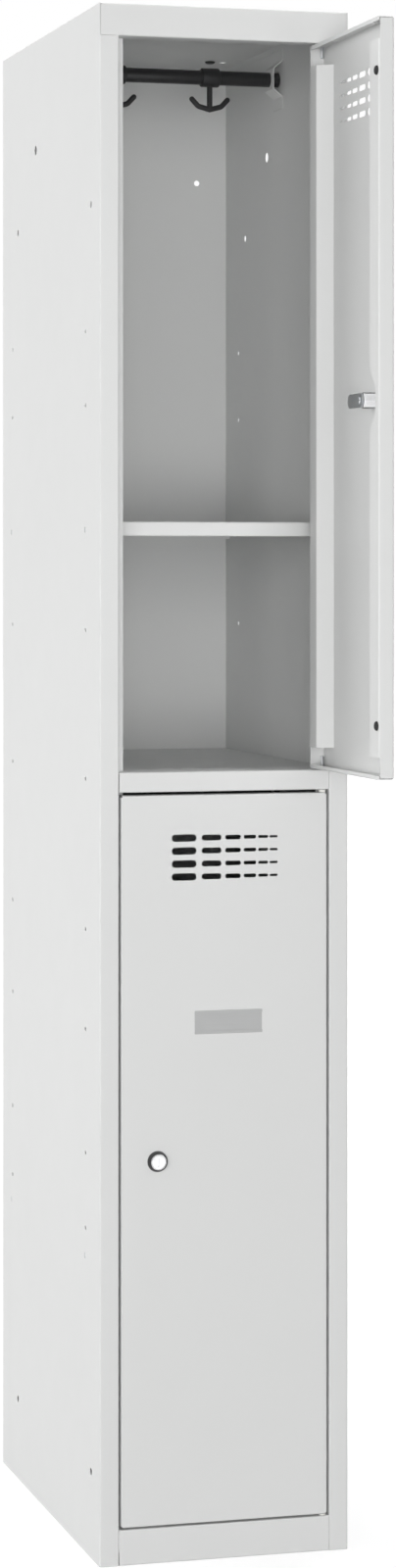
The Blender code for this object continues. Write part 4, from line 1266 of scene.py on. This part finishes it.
# %% [markdown]
# ## The cam lock, inside
# Behind the door the barrel carries a fine thread, and a horseshoe clip in a groove
# holds it. The thread is drawn as close rings, which look the same at this pitch and
# keep the shell simple.

# %% Barrel and clip
BARREL_RADIUS = 0.0092
BARREL_ROUND = 0.0012
MOUTH_ROUND = 0.0001
CORE_FIT = 0.00632
FACE_FIT = 0.00868
GROOVE_TOP = -0.0011
GROOVE_END = -0.0024
GROOVE_DEPTH = 0.0008
THREAD_PITCH = 0.0010
THREAD_DEPTH = 0.0004
THREAD_FIRST = -0.0036
THREAD_LAST = -0.0216
CLIP_RADIUS = 0.0130
CLIP_BORE = 0.0088
CLIP_THICK = 0.0010
CLIP_MOUTH = 120


def barrel():
    floor = BARREL_MOUTH - FACE_THICK - FIT
    groove = BARREL_RADIUS - GROOVE_DEPTH
    outline = [
        (CORE_FIT, floor, 0),
        (FACE_FIT, floor, 0),
        (FACE_FIT, BARREL_MOUTH, MOUTH_ROUND),
        (BARREL_RADIUS, BARREL_MOUTH, EDGE_ROUND),
        (BARREL_RADIUS, GROOVE_TOP, 0),
        (groove, GROOVE_TOP, 0),
        (groove, GROOVE_END, 0),
        (BARREL_RADIUS, GROOVE_END, 0),
    ]
    turns = round((THREAD_FIRST - THREAD_LAST) / THREAD_PITCH)
    for ridge in range(turns):
        level = THREAD_FIRST - ridge * THREAD_PITCH
        outline.append((BARREL_RADIUS, level, 0))
        outline.append((BARREL_RADIUS - THREAD_DEPTH, level - THREAD_PITCH / 2, 0))
    outline += [
        (BARREL_RADIUS, THREAD_LAST, 0),
        (BARREL_RADIUS, BARREL_END, BARREL_ROUND),
        (CORE_FIT, BARREL_END, 0),
    ]
    return turn(outline, SMOOTH_STEPS, closed=True)


def clip():
    """Sweep a small rectangle part of the way round, which leaves the clip's mouth open."""
    top = GROOVE_TOP
    bottom = top - CLIP_THICK
    bm = bmesh.new()
    corners = [bm.verts.new((x, 0, z)) for x, z in
               ((CLIP_BORE, top), (CLIP_RADIUS, top), (CLIP_RADIUS, bottom), (CLIP_BORE, bottom))]
    bm.faces.new(corners)
    start = math.radians(CLIP_MOUTH) / 2 - QUARTER_TURN
    bmesh.ops.rotate(bm, verts=bm.verts, cent=(0, 0, 0), matrix=Matrix.Rotation(start, 3, "Z"))
    bmesh.ops.spin(bm, geom=bm.faces[:] + bm.edges[:] + bm.verts[:], cent=(0, 0, 0),
                   axis=UP, angle=math.tau - math.radians(CLIP_MOUTH), steps=ROUND_STEPS)
    bmesh.ops.recalc_face_normals(bm, faces=bm.faces)
    return bm


for tier, axle in axles.items():
    stand_in(barrel(), tier + "_lock_barrel", chrome, place=axle)
    stand_in(clip(), tier + "_lock_clip", zinc_plate, place=axle)
print("thread turns", round((THREAD_FIRST - THREAD_LAST) / THREAD_PITCH))

# %% [markdown]
# ## The cam and its screw
# The cam is a flat bar with round ends. It sits on the plug's square tail, and a slotted
# screw in the tail's bore holds it there.

# %% Cam and its screw
CAM_LENGTH = 0.043
CAM_HALF = 0.008
CAM_HOLE = 0.0038
SCREW_HEAD_RADIUS = 0.0042
SCREW_HEAD = 0.0022
SCREW_DOME = 0.0012
SCREW_SHANK_RADIUS = 0.0018
SCREW_SHANK = 0.008
SCREW_CUT = 0.0010
SCREW_CUT_DEPTH = 0.0010
SCREW_CUT_LENGTH = 3 * SCREW_HEAD_RADIUS
CAM_STEPS = 48


def cam():
    """A bar with round ends: a circle's halves drawn apart, bridged to a square hole."""
    top = BARREL_END - CAM_GAP
    bm = bmesh.new()
    outer = circle(bm, CAM_HALF, Matrix.Translation(UP * top), CAM_STEPS)
    for vert in corners_of(outer):
        if vert.co.x > WELD:
            vert.co.x += CAM_LENGTH - CAM_HALF
    half = CAM_HOLE
    hole = loop_of(bm, ((half, half), (-half, half), (-half, -half), (half, -half)), top)
    bmesh.ops.bridge_loops(bm, edges=outer + hole)
    bm.normal_update()
    bmesh.ops.reverse_faces(bm, faces=[face for face in bm.faces if face.normal.z < 0])
    bmesh.ops.solidify(bm, geom=bm.faces[:], thickness=CAM_THICK)
    bmesh.ops.recalc_face_normals(bm, faces=bm.faces)
    return bm


def screw():
    """A cheese-head screw with its slot cut across."""
    seat = BARREL_END - CAM_GAP - CAM_THICK - FIT
    shape = turn((
        (0, seat + SCREW_SHANK, 0),
        (SCREW_SHANK_RADIUS, seat + SCREW_SHANK, MEDIUM_ROUND),
        (SCREW_SHANK_RADIUS, seat, 0),
        (SCREW_HEAD_RADIUS, seat, EDGE_ROUND),
        (SCREW_HEAD_RADIUS, seat - SCREW_HEAD, SCREW_DOME),
        (0, seat - SCREW_HEAD, 0),
    ), CAM_STEPS)
    cut = bmesh.new()
    size = Matrix.Diagonal((SCREW_CUT_LENGTH, SCREW_CUT, 2 * SCREW_CUT_DEPTH, 1))
    bmesh.ops.create_cube(cut, size=1,
                          matrix=Matrix.Translation((0, 0, seat - SCREW_HEAD)) @ size)
    return joined("screw", [shape, cut], "DIFFERENCE")


for tier, axle in axles.items():
    stand_in(cam(), tier + "_lock_cam", zinc_plate, place=axle)
    stand_in(screw(), tier + "_cam_screw", zinc_plate, place=axle)
    low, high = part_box(tier + "_lock_cam")
    print(tier, "cam", shown(*low, *high))

# %% [markdown]
# ## Sizes
# The cell below only imports json. Everything made here has to stay inside the solids'
# own box.

# %% Sizes
import json
